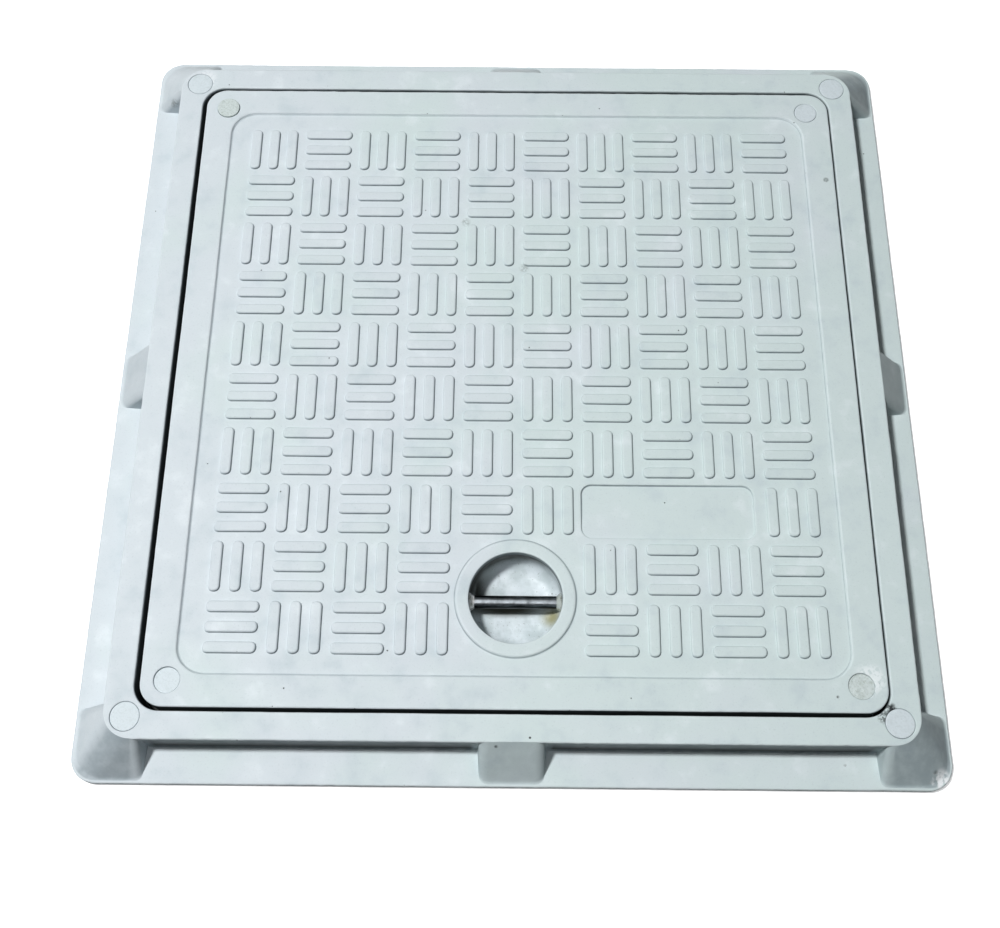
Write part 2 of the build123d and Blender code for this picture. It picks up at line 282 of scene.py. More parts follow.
class Skin:
    """A piece's skin, gathered patch by patch in millimetres, and then welded into one mesh."""

    def __init__(self) -> None:
        """Start with no patches."""
        self._points: list[Array] = []
        self._wear: list[Array] = []
        self._faces: list[Array] = []
        self._count = 0

    def patch(self, points: Array, wear: float | Array, faces: Sequence[Array]) -> None:
        """Keep a patch.

        Args:
            points: its points, shape (..., 3).
            wear: one tone of rubbing and painted shade, or one for each point.
            faces: arrays of faces that index the points.
        """
        flat = points.reshape(-1, 3)
        self._points.append(flat)
        self._wear.append(np.broadcast_to(np.asarray(wear, float), points.shape[:-1]).reshape(-1))
        self._faces += [face + self._count for face in faces]
        self._count += len(flat)

    def rings(self, rings: Array, wear: Array | Sequence[float] | float = 0.0, capped: bool = False) -> None:
        """Join rings of points by quads.

        Args:
            rings: points of shape (..., R, N, 3): R closed rings of N points, in any number of copies.
            wear: rubbing and painted shade of each ring, or of each point of each ring, or that for each
                copy.
            capped: whether the last ring is filled by one flat face.
        """
        copies = rings.reshape(-1, *rings.shape[-3:])
        index = np.arange(copies[..., 0].size).reshape(copies.shape[:3])
        onward = np.roll(index, -1, axis=2)
        corners = (index[:, :-1], onward[:, :-1], onward[:, 1:], index[:, 1:])
        faces = [np.stack(corners, -1).reshape(-1, 4)]
        if capped:
            faces.append(index[:, -1])
        tone = np.asarray(wear, float)
        tone = tone if tone.ndim > 1 else tone.reshape(-1, 1)
        self.patch(copies, np.broadcast_to(tone, copies.shape[:3]), faces)

    def edge(self, section: Section, outline: Array, height: float, capped: bool = False) -> Array:
        """Carry a section along an outline, and keep its skin.

        Args:
            section: the section.
            outline: closed anticlockwise points of shape (N, 2).
            height: height that the section's own heights are counted from.
            capped: whether the last ring is filled by one flat face.

        Returns:
            The rings, shape (R, N, 3), for the flats beside them.
        """
        rings = section.along(outline, height)
        self.rings(rings, section.wear, capped)
        return rings

    def flat(self, loops: Sequence[Array], spacing: float) -> None:
        """Lay a flat between closed anticlockwise loops of one height, with a grid of points in it.

        The first loop is the outside and the others are holes. The triangles are those of a constrained
        Delaunay net that lie in the first loop alone, so every side of every loop is a side of the net.
        The inner points stand a little off their grid, so that none of them falls on a loop.

        Args:
            loops: arrays of shape (N, 3).
            spacing: distance between the points inside.
        """
        starts = np.cumsum([0] + [len(loop) for loop in loops])
        outlines = [list(range(a, b)) for a, b in zip(starts, starts[1:])]
        low, high = loops[0].min(0), loops[0].max(0)
        across = [np.arange(low[k] + spacing / 2, high[k], spacing) for k in (0, 1)]
        inside = raised(np.stack(np.meshgrid(*across), -1).reshape(-1, 2), loops[0][0, 2])
        off = [waves(inside, seed, 3.7 * spacing) for seed in (1, 2)]
        inside[:, :2] += 0.2 * spacing * np.stack(off, -1)
        points = np.concatenate((*loops, inside))
        net = delaunay_2d_cdt([Vector(p) for p in points[:, :2].tolist()], [], outlines, 1, 1e-5, True)
        source = np.array([origin[0] for origin in net[3]])
        kept = [triangle for triangle, within in zip(net[2], net[5]) if list(within) == [0]]
        self.patch(points, 0.0, [source[np.array(kept)]])

    def build(self, name: str, warp: float = 0.0, seed: int = 0) -> bpy.types.Object:
        """Weld the patches and make the piece.

        Points that coincide become one, and faces that a weld has closed up are dropped. A warp moves
        every point a little by smooth waves, as a moulding shrinks unevenly, and a worn point by finer
        waves as well.

        Args:
            name: the piece's name.
            warp: the most that a point moves, in millimetres.
            seed: seed of the warp.

        Returns:
            The finished object, at the origin and in metres.
        """
        points = np.concatenate(self._points)
        _, first, weld = np.unique(np.round(points, 4), axis=0, return_index=True, return_inverse=True)
        weld = weld.reshape(-1)
        places = points[first]
        if warp:
            shift = np.stack([
                waves(places, seed + k, 70.0) + 0.5 * waves(places, seed + 9 + k, 22.0) for k in range(3)
            ], -1)
            low, high = places.min(0), places.max(0)
            worn = np.clip(np.concatenate(self._wear)[first], 0, 1)[:, None]
            ragged = np.stack([waves(places, seed + 20 + k, 5.0, 9) for k in range(3)], -1)
            places = np.clip(places + warp * shift + 1.9 * warp * worn * ragged, low, high)
        mesh = bpy.data.meshes.new(name)
        mesh.from_pydata((places * MM).tolist(), [], self._welded(weld))
        tone = mesh.attributes.new("edge_wear", "FLOAT", "POINT")
        tone.data.foreach_set("value", np.concatenate(self._wear)[first].astype(np.float32))
        return finished(mesh, name)

    def _welded(self, weld: Array) -> list[list[int]]:
        """Give the faces after the weld, without the corners that have closed up.

        Args:
            weld: the welded index of each point.

        Returns:
            Faces of welded points, each with three corners or more.
        """
        faces: list[list[int]] = []
        for patch in self._faces:
            corners = weld[patch]
            doubled = corners == np.roll(corners, -1, axis=1)
            faces += corners[~doubled.any(axis=1)].tolist()
            for row, gone in zip(corners[doubled.any(axis=1)], doubled[doubled.any(axis=1)]):
                left = row[~gone].tolist()
                if len(set(left)) > 2:
                    faces.append(left)
        return faces


def finished(mesh: bpy.types.Mesh, name: str) -> bpy.types.Object:
    """Turn a welded mesh's faces outwards, shade it by its angles, and link its object.

    Args:
        mesh: the welded mesh.
        name: the piece's name.

    Returns:
        The piece, at the origin.
    """
    work = bmesh.new()
    work.from_mesh(mesh)
    loose = [vertex for vertex in work.verts if not vertex.link_faces]
    bmesh.ops.delete(work, geom=loose, context="VERTS")
    bmesh.ops.recalc_face_normals(work, faces=work.faces)
    open_edges = sum(not edge.is_manifold for edge in work.edges)
    work.to_mesh(mesh)
    work.free()
    mesh.shade_smooth()
    mesh.set_sharp_from_angle(angle=math.radians(50))
    piece = bpy.data.objects.new(name, mesh)
    bpy.context.scene.collection.objects.link(piece)
    weighted = piece.modifiers.new("flat_shading", "WEIGHTED_NORMAL")
    weighted.keep_sharp = True
    weighted.weight = 80
    LOG.info("%s: %d faces, %d open edges", name, len(mesh.polygons), open_edges)
    return piece


def turned(section_points: Array, centre: Sequence[float], steps: int) -> Array:
    """Turn a profile about a vertical axis.

    Args:
        section_points: radius and height of each ring, shape (R, 2).
        centre: the axis's X and Y.
        steps: steps round the axis.

    Returns:
        Rings of shape (R, steps, 3), where a ring of no radius is a pole.
    """
    flat = section_points[:, :1, None] * circle(1.0, steps) + np.asarray(centre)[:2]
    return raised(flat, np.broadcast_to(section_points[:, 1:], flat.shape[:2]))


# ---------------------------------------------------------------- finishes


def linear(code: str) -> tuple[float, float, float, float]:
    """Turn an sRGB hex code to linear red, green, blue and an alpha of 1.

    Args:
        code: the code, such as "#c3cecd".

    Returns:
        The four linear values.
    """
    parts = [int(code[k : k + 2], 16) / 255 for k in (1, 3, 5)]
    red, green, blue = (c / 12.92 if c <= 0.04045 else ((c + 0.055) / 1.055) ** 2.4 for c in parts)
    return red, green, blue, 1.0


def add_node(
    tree: bpy.types.NodeTree,
    kind: str,
    settings: Mapping[str | int, object] | None = None,
    links: Mapping[str | int, bpy.types.NodeSocket] | None = None,
) -> bpy.types.Node:
    """Add a node with its settings and links.

    Args:
        tree: the node tree.
        kind: the node's type name.
        settings: values of its properties and of its inputs, by name or by number.
        links: output sockets to link to its inputs, by name or by number.

    Returns:
        The new node.
    """
    node = tree.nodes.new(kind)
    for key, value in (settings or {}).items():
        if isinstance(key, str) and key in node.bl_rna.properties:
            setattr(node, key, value)
        else:
            node.inputs[key].default_value = value
    for key, socket in (links or {}).items():
        tree.links.new(socket, node.inputs[key])
    return node


class Finish:
    """What the finishes share: an empty material, and the ways that several of them vary a colour."""

    def start(self, name: str) -> tuple[bpy.types.Material, bpy.types.NodeTree, bpy.types.NodeSocket]:
        """Make a material with no nodes but the object's own coordinates, in metres.

        Args:
            name: the material's name.

        Returns:
            The material, its tree, and the coordinates.
        """
        material = bpy.data.materials.new(name)
        material.use_nodes = True
        tree = material.node_tree
        tree.nodes.clear()
        place = add_node(tree, "ShaderNodeTexCoord").outputs["Object"]
        return material, tree, place

    def noise(
        self, tree: bpy.types.NodeTree, place: bpy.types.NodeSocket, size: float, detail: float = 2.0,
        stretch: tuple[float, float, float] = (1.0, 1.0, 1.0),
    ) -> bpy.types.NodeSocket:
        """Add noise with lumps of a real size.

        Args:
            tree: the node tree.
            place: the object's own coordinates.
            size: size of the lumps in millimetres.
            detail: how many finer layers it has.
            stretch: how many times longer the lumps are along each axis.

        Returns:
            The noise, from 0 to 1.
        """
        scale = tuple(1.0 / s for s in stretch)
        mapping = add_node(tree, "ShaderNodeMapping", {"Scale": scale}, {"Vector": place})
        settings = {"Scale": 1.0 / (size * MM), "Detail": detail, "Roughness": 0.55}
        return add_node(tree, "ShaderNodeTexNoise", settings, {"Vector": mapping.outputs[0]}).outputs[0]

    def ramp(
        self, tree: bpy.types.NodeTree, value: bpy.types.NodeSocket, low: float, high: float,
        to_low: float = 0.0, to_high: float = 1.0,
    ) -> bpy.types.NodeSocket:
        """Carry a value smoothly from one range to another, and hold it at the ends.

        Args:
            tree: the node tree.
            value: the value.
            low: where the first range starts.
            high: where the first range ends.
            to_low: where the second range starts.
            to_high: where the second range ends.

        Returns:
            The new value.
        """
        settings = {"interpolation_type": "SMOOTHSTEP", "From Min": low, "From Max": high}
        settings |= {"To Min": to_low, "To Max": to_high}
        return add_node(tree, "ShaderNodeMapRange", settings, {"Value": value}).outputs[0]

    def times(
        self, tree: bpy.types.NodeTree, first: bpy.types.NodeSocket, second: bpy.types.NodeSocket | float
    ) -> bpy.types.NodeSocket:
        """Multiply a value by another or by a number.

        Args:
            tree: the node tree.
            first: the value.
            second: the other value, or the number.

        Returns:
            The product.
        """
        settings: dict[str | int, object] = {"operation": "MULTIPLY"}
        links: dict[str | int, bpy.types.NodeSocket] = {0: first}
        (settings if isinstance(second, float) else links)[1] = second
        return add_node(tree, "ShaderNodeMath", settings, links).outputs[0]

    def tint(
        self, tree: bpy.types.NodeTree, colour: bpy.types.NodeSocket | str, code: str,
        share: bpy.types.NodeSocket,
    ) -> bpy.types.NodeSocket:
        """Blend a colour towards another.

        Args:
            tree: the node tree.
            colour: the first colour, or its sRGB hex code.
            code: sRGB hex code of the second colour.
            share: share of the second colour.

        Returns:
            The blended colour.
        """
        settings: dict[str | int, object] = {"data_type": "RGBA", 7: linear(code)}
        links: dict[str | int, bpy.types.NodeSocket] = {0: share}
        if isinstance(colour, str):
            settings[6] = linear(colour)
        else:
            links[6] = colour
        return add_node(tree, "ShaderNodeMix", settings, links).outputs[2]

    def near(
        self, tree: bpy.types.NodeTree, place: bpy.types.NodeSocket, spot: Sequence[float],
        radius: float, soft: float = 0.6,
    ) -> bpy.types.NodeSocket:
        """Give 1 at a spot and 0 beyond a radius, with a soft edge.

        Args:
            tree: the node tree.
            place: the object's own coordinates.
            spot: the spot in millimetres.
            radius: the radius in millimetres.
            soft: the share of the radius that is edge.

        Returns:
            A value from 0 to 1.
        """
        point = tuple(c * MM for c in spot)
        settings = {"operation": "DISTANCE", 1: point}
        gap = add_node(tree, "ShaderNodeVectorMath", settings, {0: place}).outputs["Value"]
        return self.ramp(tree, gap, radius * MM * (1 - soft), radius * MM, 1.0, 0.0)

    def wear(self, tree: bpy.types.NodeTree) -> bpy.types.NodeSocket:
        """Read the rubbing and painted shade that the skin carries along its edges."""
        return add_node(tree, "ShaderNodeAttribute", {"attribute_name": "edge_wear"}).outputs["Fac"]

    def bumps(
        self, tree: bpy.types.NodeTree, heights: Sequence[tuple[bpy.types.NodeSocket, float]]
    ) -> bpy.types.NodeSocket:
        """Chain bumps.

        Args:
            tree: the node tree.
            heights: pairs of a height from 0 to 1 and its depth in millimetres.

        Returns:
            The bumped normal.
        """
        normal = None
        for height, depth in heights:
            links = {"Height": height} | ({"Normal": normal} if normal else {})
            settings = {"Strength": 1.0, "Distance": depth * MM}
            normal = add_node(tree, "ShaderNodeBump", settings, links).outputs[0]
        return normal

    def shade(
        self, tree: bpy.types.NodeTree, settings: Mapping[str | int, object],
        links: Mapping[str | int, bpy.types.NodeSocket],
    ) -> None:
        """End the tree in a Principled shader and the output.

        Args:
            tree: the node tree.
            settings: values of the shader's inputs.
            links: sockets to link to the shader's inputs.
        """
        shader = add_node(tree, "ShaderNodeBsdfPrincipled", settings, links)
        add_node(tree, "ShaderNodeOutputMaterial", links={"Surface": shader.outputs[0]})


@dataclass(frozen=True)
class Mark:
    """A blemish: where it is in millimetres, how far it reaches, its colour and how strongly it shows."""

    place: tuple[float, float, float]
    radius: float
    code: str
    strength: float
    grain: float = 1.2


@dataclass(frozen=True)
class MouldedPolyester(Finish):
    """Press-moulded glass-fibre polyester, pigmented pale grey.

    It is satin, with a faint cloudiness where the charge flowed, a fine skin texture, a few pinholes from
    trapped air and edges rubbed pale. Shade is painted into its corners, recesses and the feet of walls, and
    a bluish tint painted on its left side stands for the window light there.
    """

    name: str
    cool: str = "#cad3d8"
    warm: str = "#c6d4d4"
    mottled: str = "#b4c2c8"
    rubbed: str = "#e2eaee"
    # Below: a darker grey that roughens the skin at random and is also painted shade where the edge tone is
    # below 0, and a near-black painted shade for the deepest corners, holes and wall feet.
    dirt_and_shade: str = "#7d8b92"
    painted_shade: str = "#1c211f"
    pin: str = "#2a3230"
    roughness: float = 0.6
    cloud_size: float = 55.0
    # Painted light: how steeply the colour turns from bluish on the left to greener on the right.
    window_tint: float = 1.0
    mottle_size: float = 13.0
    skin_size: float = 0.9
    peel_size: float = 5.0
    pin_spacing: float = 9.0
    pin_radius: float = 0.42
    marks: tuple[Mark, ...] = ()

    def material(self) -> bpy.types.Material:
        """Build the material.

        Returns:
            The material.
        """
        made, tree, place = self.start(self.name)
        cloud = self.noise(tree, place, self.cloud_size, 3.0)
        # Painted light: a bluish tint on the left, fading to green on the right, stands for the window light
        # on the left, over random cloudiness.
        across = add_node(tree, "ShaderNodeSeparateXYZ", links={0: place}).outputs[0]
        settings = {"operation": "MULTIPLY_ADD", 1: self.window_tint}
        cloud_and_window_tint = add_node(tree, "ShaderNodeMath", settings, {0: across, 2: cloud}).outputs[0]
        colour = self.tint(tree, self.cool, self.warm, self.ramp(tree, cloud_and_window_tint, 0.3, 0.7))
        mottle = self.noise(tree, place, self.mottle_size, 5.0)
        colour = self.tint(tree, colour, self.mottled, self.ramp(tree, mottle, 0.5, 0.78, 0.0, 0.5))
        colour = self.tint(tree, colour, self.rubbed, self.ramp(tree, mottle, 0.45, 0.25, 0.0, 0.35))
        skin = self.noise(tree, place, self.skin_size, 2.0)
        colour = self.tint(tree, colour, self.dirt_and_shade, self.ramp(tree, skin, 0.55, 0.85, 0.0, 0.2))
        wear = self.wear(tree)
        uneven = self.ramp(tree, self.noise(tree, place, 6.0, 3.0), 0.3, 0.65, 0.7, 1.0)
        # Edges rubbed pale; where the edge tone is below 0, painted shade in corners, recesses and at the
        # feet of walls.
        for code, low, high, share in ((self.rubbed, 0.1, 1.0, 0.4), (self.dirt_and_shade, -0.1, -1.0, 0.8)):
            worn = self.times(tree, self.ramp(tree, wear, low, high, 0.0, share), uneven)
            colour = self.tint(tree, colour, code, worn)
        # Painted shade, nearly black, where the edge tone is lowest: gaps, holes and the feet of walls.
        colour = self.tint(tree, colour, self.painted_shade, self.ramp(tree, wear, -1.0, -2.5, 0.0, 0.97))
        near_edges = self.ramp(tree, wear, 0.15, 0.5, 0.0, 1.0)
        pinhole = self.pinholes(tree, place, self.pin_spacing, 0.78)
        edge_holes = self.times(tree, self.pinholes(tree, place, self.pin_spacing * 0.4, 0.84), near_edges)
        both = {0: pinhole, 1: edge_holes}
        pinhole = add_node(tree, "ShaderNodeMath", {"operation": "MAXIMUM"}, both).outputs[0]
        colour = self.tint(tree, colour, self.pin, self.times(tree, pinhole, 0.85))
        for mark in self.marks:
            spot = self.near(tree, place, mark.place, mark.radius)
            broken = self.ramp(tree, self.noise(tree, place, mark.grain, 4.0), 0.38, 0.54)
            share = self.times(tree, self.times(tree, spot, broken), mark.strength)
            colour = self.tint(tree, colour, mark.code, share)
        peel = self.noise(tree, place, self.peel_size, 1.0)
        normal = self.bumps(tree, ((peel, 0.03), (skin, 0.035), (self.times(tree, pinhole, -1.0), 0.3)))
        rough = self.ramp(tree, mottle, 0.3, 0.7, self.roughness - 0.04, self.roughness + 0.06)
        settings = {"IOR": 1.5, "Specular IOR Level": 0.35}
        self.shade(tree, settings, {"Base Color": colour, "Roughness": rough, "Normal": normal})
        return made

    def pinholes(
        self, tree: bpy.types.NodeTree, place: bpy.types.NodeSocket, spacing: float, chosen: float
    ) -> bpy.types.NodeSocket:
        """Scatter round holes in some of a Voronoi pattern's cells.

        Args:
            tree: the node tree.
            place: the object's own coordinates.
            spacing: size of the cells in millimetres.
            chosen: a cell has a hole where its random colour's red is above this.

        Returns:
            1 in a hole and 0 elsewhere.
        """
        cell = add_node(tree, "ShaderNodeTexVoronoi", {"Scale": 1 / (spacing * MM)}, {"Vector": place})
        reach = self.pin_radius / spacing
        hole = self.ramp(tree, cell.outputs["Distance"], reach * 0.5, reach, 1.0, 0.0)
        red = add_node(tree, "ShaderNodeSeparateColor", links={0: cell.outputs["Color"]}).outputs[0]
        return self.times(tree, hole, self.ramp(tree, red, chosen, chosen + 0.02))


@dataclass(frozen=True)
class GelCoat(Finish):
    """Brushed gel coat inside the cup: glossy over an uneven, mottled ground, stained where water stood, with
    shadows and shade painted on it.
    """

    name: str
    base: str = "#b9c5c8"
    pale: str = "#d2dce1"
    # A darker olive for smears and specks, also used for the painted shadow under the bar.
    dirt_and_shade: str = "#3b3e31"
    stain: str = "#8f8c62"
    # Near-black painted shade and shadow.
    painted_shade: str = "#1d2017"
    stain_place: tuple[float, float, float] = (0.0, 0.0, 0.0)
    # Centre and reach of the painted shadow on the left of the bowl, and the centre of the painted shadow
    # under the bar.
    shadow_place: tuple[float, float, float] = (0.0, 0.0, 0.0)
    shadow_radius: float = 15.5
    rod_shade: tuple[float, float, float] = (0.0, 0.0, 0.0)

    def material(self) -> bpy.types.Material:
        """Build the material.

        Returns:
            The material.
        """
        made, tree, place = self.start(self.name)
        lumps = self.noise(tree, place, 7.0, 3.0)
        colour = self.tint(tree, self.base, self.pale, self.ramp(tree, lumps, 0.35, 0.7))
        smear = self.noise(tree, place, 4.0, 4.0, (1.0, 3.0, 1.0))
        colour = self.tint(tree, colour, self.dirt_and_shade, self.ramp(tree, smear, 0.6, 0.85, 0.0, 0.35))
        # Painted shadow, nearly black in patches, on the left of the bowl.
        painted_shadow = self.near(tree, place, self.shadow_place, self.shadow_radius, 0.6)
        patchy = self.ramp(tree, smear, 0.2, 0.6, 0.75, 1.0)
        colour = self.tint(tree, colour, self.painted_shade, self.times(tree, painted_shadow, patchy))
        stain = self.near(tree, place, self.stain_place, 7.5, 0.9)
        colour = self.tint(tree, colour, self.stain, self.times(tree, stain, 0.9))
        # Painted shadow on the floor just in front of and under the bar.
        scale = (0.22, 1.0, 0.3)
        shift = tuple(-c * MM * k for c, k in zip(self.rod_shade, scale))
        settings = {"Location": shift, "Scale": scale}
        along = add_node(tree, "ShaderNodeMapping", settings, {"Vector": place}).outputs[0]
        shade = self.near(tree, along, (0.0, 0.0, 0.0), 5.6, 0.75)
        colour = self.tint(tree, colour, self.dirt_and_shade, self.times(tree, shade, 0.97))
        # Painted shade down the cup's walls, from the skin's tone.
        wall_shade = self.ramp(tree, self.wear(tree), -0.1, -1.3, 0.0, 0.96)
        colour = self.tint(tree, colour, self.painted_shade, wall_shade)
        specks = self.ramp(tree, self.noise(tree, place, 0.9, 2.0), 0.66, 0.74)
        colour = self.tint(tree, colour, self.dirt_and_shade, self.times(tree, specks, 0.6))
        normal = self.bumps(tree, ((lumps, 0.25), (smear, 0.1)))
        rough = self.ramp(tree, smear, 0.3, 0.8, 0.36, 0.6)
        settings = {"IOR": 1.5, "Specular IOR Level": 0.4}
        self.shade(tree, settings, {"Base Color": colour, "Roughness": rough, "Normal": normal})
        return made


@dataclass(frozen=True)
class DrawnSteel(Finish):
    """Drawn mild steel rod: patchy and a little rusty, with shade painted nearly black over all but a strip
    along its top.
    """

    name: str
    bright: str = "#aab1b6"
    dull: str = "#6b7073"
    rust: str = "#4b3c30"
    # Near-black painted shade over the rod's sides and underside.
    scale: str = "#0e1012"

    def material(self) -> bpy.types.Material:
        """Build the material.

        Returns:
            The material.
        """
        made, tree, place = self.start(self.name)
        lines = self.noise(tree, place, 0.35, 2.0, (60.0, 1.0, 1.0))
        patch = self.noise(tree, place, 5.0, 3.0)
        colour = self.tint(tree, self.bright, self.dull, self.ramp(tree, patch, 0.4, 0.75))
        rusty = self.ramp(tree, self.noise(tree, place, 2.0, 4.0), 0.62, 0.8, 0.0, 0.6)
        colour = self.tint(tree, colour, self.rust, rusty)
        # Painted shade where the skin's tone is below 0, which is all but a strip along the top.
        colour = self.tint(tree, colour, self.scale, self.ramp(tree, self.wear(tree), -0.1, -0.9, 0.0, 0.97))
        normal = self.bumps(tree, ((lines, 0.02), (patch, 0.05)))
        rough = self.ramp(tree, patch, 0.3, 0.8, 0.28, 0.4)
        self.shade(tree, {"Metallic": 1.0}, {"Base Color": colour, "Roughness": rough, "Normal": normal})
        return made


@dataclass(frozen=True)
class CuredResin(Finish):
    """Polyester resin run round the bar's end and left to cure: glossy and lumpy, milky or yellowed."""

    name: str
    base: str = "#e9ecea"
    deep: str = "#b9b79c"

    def material(self) -> bpy.types.Material:
        """Build the material.

        Returns:
            The material.
        """
        made, tree, place = self.start(self.name)
        lumps = self.noise(tree, place, 2.2, 3.0)
        colour = self.tint(tree, self.base, self.deep, self.ramp(tree, lumps, 0.45, 0.75))
        normal = self.bumps(tree, ((lumps, 0.4),))
        settings = {"Roughness": 0.14, "IOR": 1.56, "Coat Weight": 0.5, "Coat Roughness": 0.05}
        self.shade(tree, settings, {"Base Color": colour, "Normal": normal})
        return made


@dataclass(frozen=True)
class SetFiller(Finish):
    """Polyester filler struck off in a blind hole: matt, a shade greener than the moulding, and grainy."""

    name: str
    base: str = "#cad5da"
    grainy: str = "#a9b5b5"
    share: float = 0.3

    def material(self) -> bpy.types.Material:
        """Build the material.

        Returns:
            The material.
        """
        made, tree, place = self.start(self.name)
        grain = self.noise(tree, place, 0.9, 4.0)
        cloud = self.noise(tree, place, 3.5, 3.0)
        colour = self.tint(tree, self.base, self.grainy, self.ramp(tree, grain, 0.45, 0.75, 0.0, self.share))
        colour = self.tint(tree, colour, self.grainy, self.ramp(tree, cloud, 0.5, 0.8, 0.0, self.share))
        wear = self.wear(tree)
        colour = self.tint(tree, colour, self.grainy, self.ramp(tree, wear, -0.1, -1.0, 0.0, 0.8))
        normal = self.bumps(tree, ((grain, 0.12), (cloud, 0.15)))
        self.shade(tree, {"Roughness": 0.6, "IOR": 1.5}, {"Base Color": colour, "Normal": normal})
        return made


@dataclass(frozen=True)
class ExtrudedRubber(Finish):
    """EPDM rubber strip as extruded: black, matt, with fine lines and a dusting of grit."""

    name: str
    base: str = "#1d1f1e"
    dust: str = "#5d625f"

    def material(self) -> bpy.types.Material:
        """Build the material.

        Returns:
            The material.
        """
        made, tree, place = self.start(self.name)
        grit = self.noise(tree, place, 1.4, 4.0)
        colour = self.tint(tree, self.base, self.dust, self.ramp(tree, grit, 0.55, 0.8, 0.0, 0.6))
        normal = self.bumps(tree, ((grit, 0.08),))
        self.shade(tree, {"Roughness": 0.72, "IOR": 1.52}, {"Base Color": colour, "Normal": normal})
        return made


@dataclass(frozen=True)
class PaleFloor(Finish):
    """Seamless white paper: flat, very slightly uneven."""

    name: str
    base: str = "#fbfcfc"
    glow: float = 0.45

    def material(self) -> bpy.types.Material:
        """Build the material.

        Returns:
            The material.
        """
        made, tree, place = self.start(self.name)
        fibre = self.noise(tree, place, 3.0, 3.0)
        normal = self.bumps(tree, ((fibre, 0.02),))
        settings = {"Base Color": linear(self.base), "Roughness": 0.9, "Emission Color": linear(self.base)}
        self.shade(tree, settings | {"Emission Strength": self.glow}, {"Normal": normal})
        return made


def dress(
    piece: bpy.types.Object, finish: bpy.types.Material, body: Body, slot: Slot, *nodes: str
) -> bpy.types.Object:
    """Dress a piece.

    Args:
        piece: the piece.
        finish: its material.
        body: the body that it rides on.
        slot: its material slot in the record; not used.
        *nodes: the CAD nodes that it stands for.

    Returns:
        The same piece.
    """
    piece.data.materials.append(finish)
    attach(piece, body.value)
    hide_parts(*nodes)
    return piece


# ---------------------------------------------------------------- sub-assemblies

# The cover's top edge: rubbed pale over the round, then shade painted down its side into the gap.
EDGE_DOWN = Section(
    (-1.3, -0.8, -0.5, -0.23, -0.06, 0.0, 0.0), (0.0, 0.0, -0.06, -0.23, -0.5, -0.8, -1.4),
    (0.0, 0.2, 0.6, 0.8, 0.4, -0.4, -2.2),
)
# Blind hole for a plug: shade painted down its wall, darkest at the bottom.
SOCKET = Section((0.6, 0.34, 0.16, 0.03, 0.0), (0.0, -0.03, -0.14, -0.45, -2.5), (0.0, 0.0, -0.2, -0.8, -2.2))


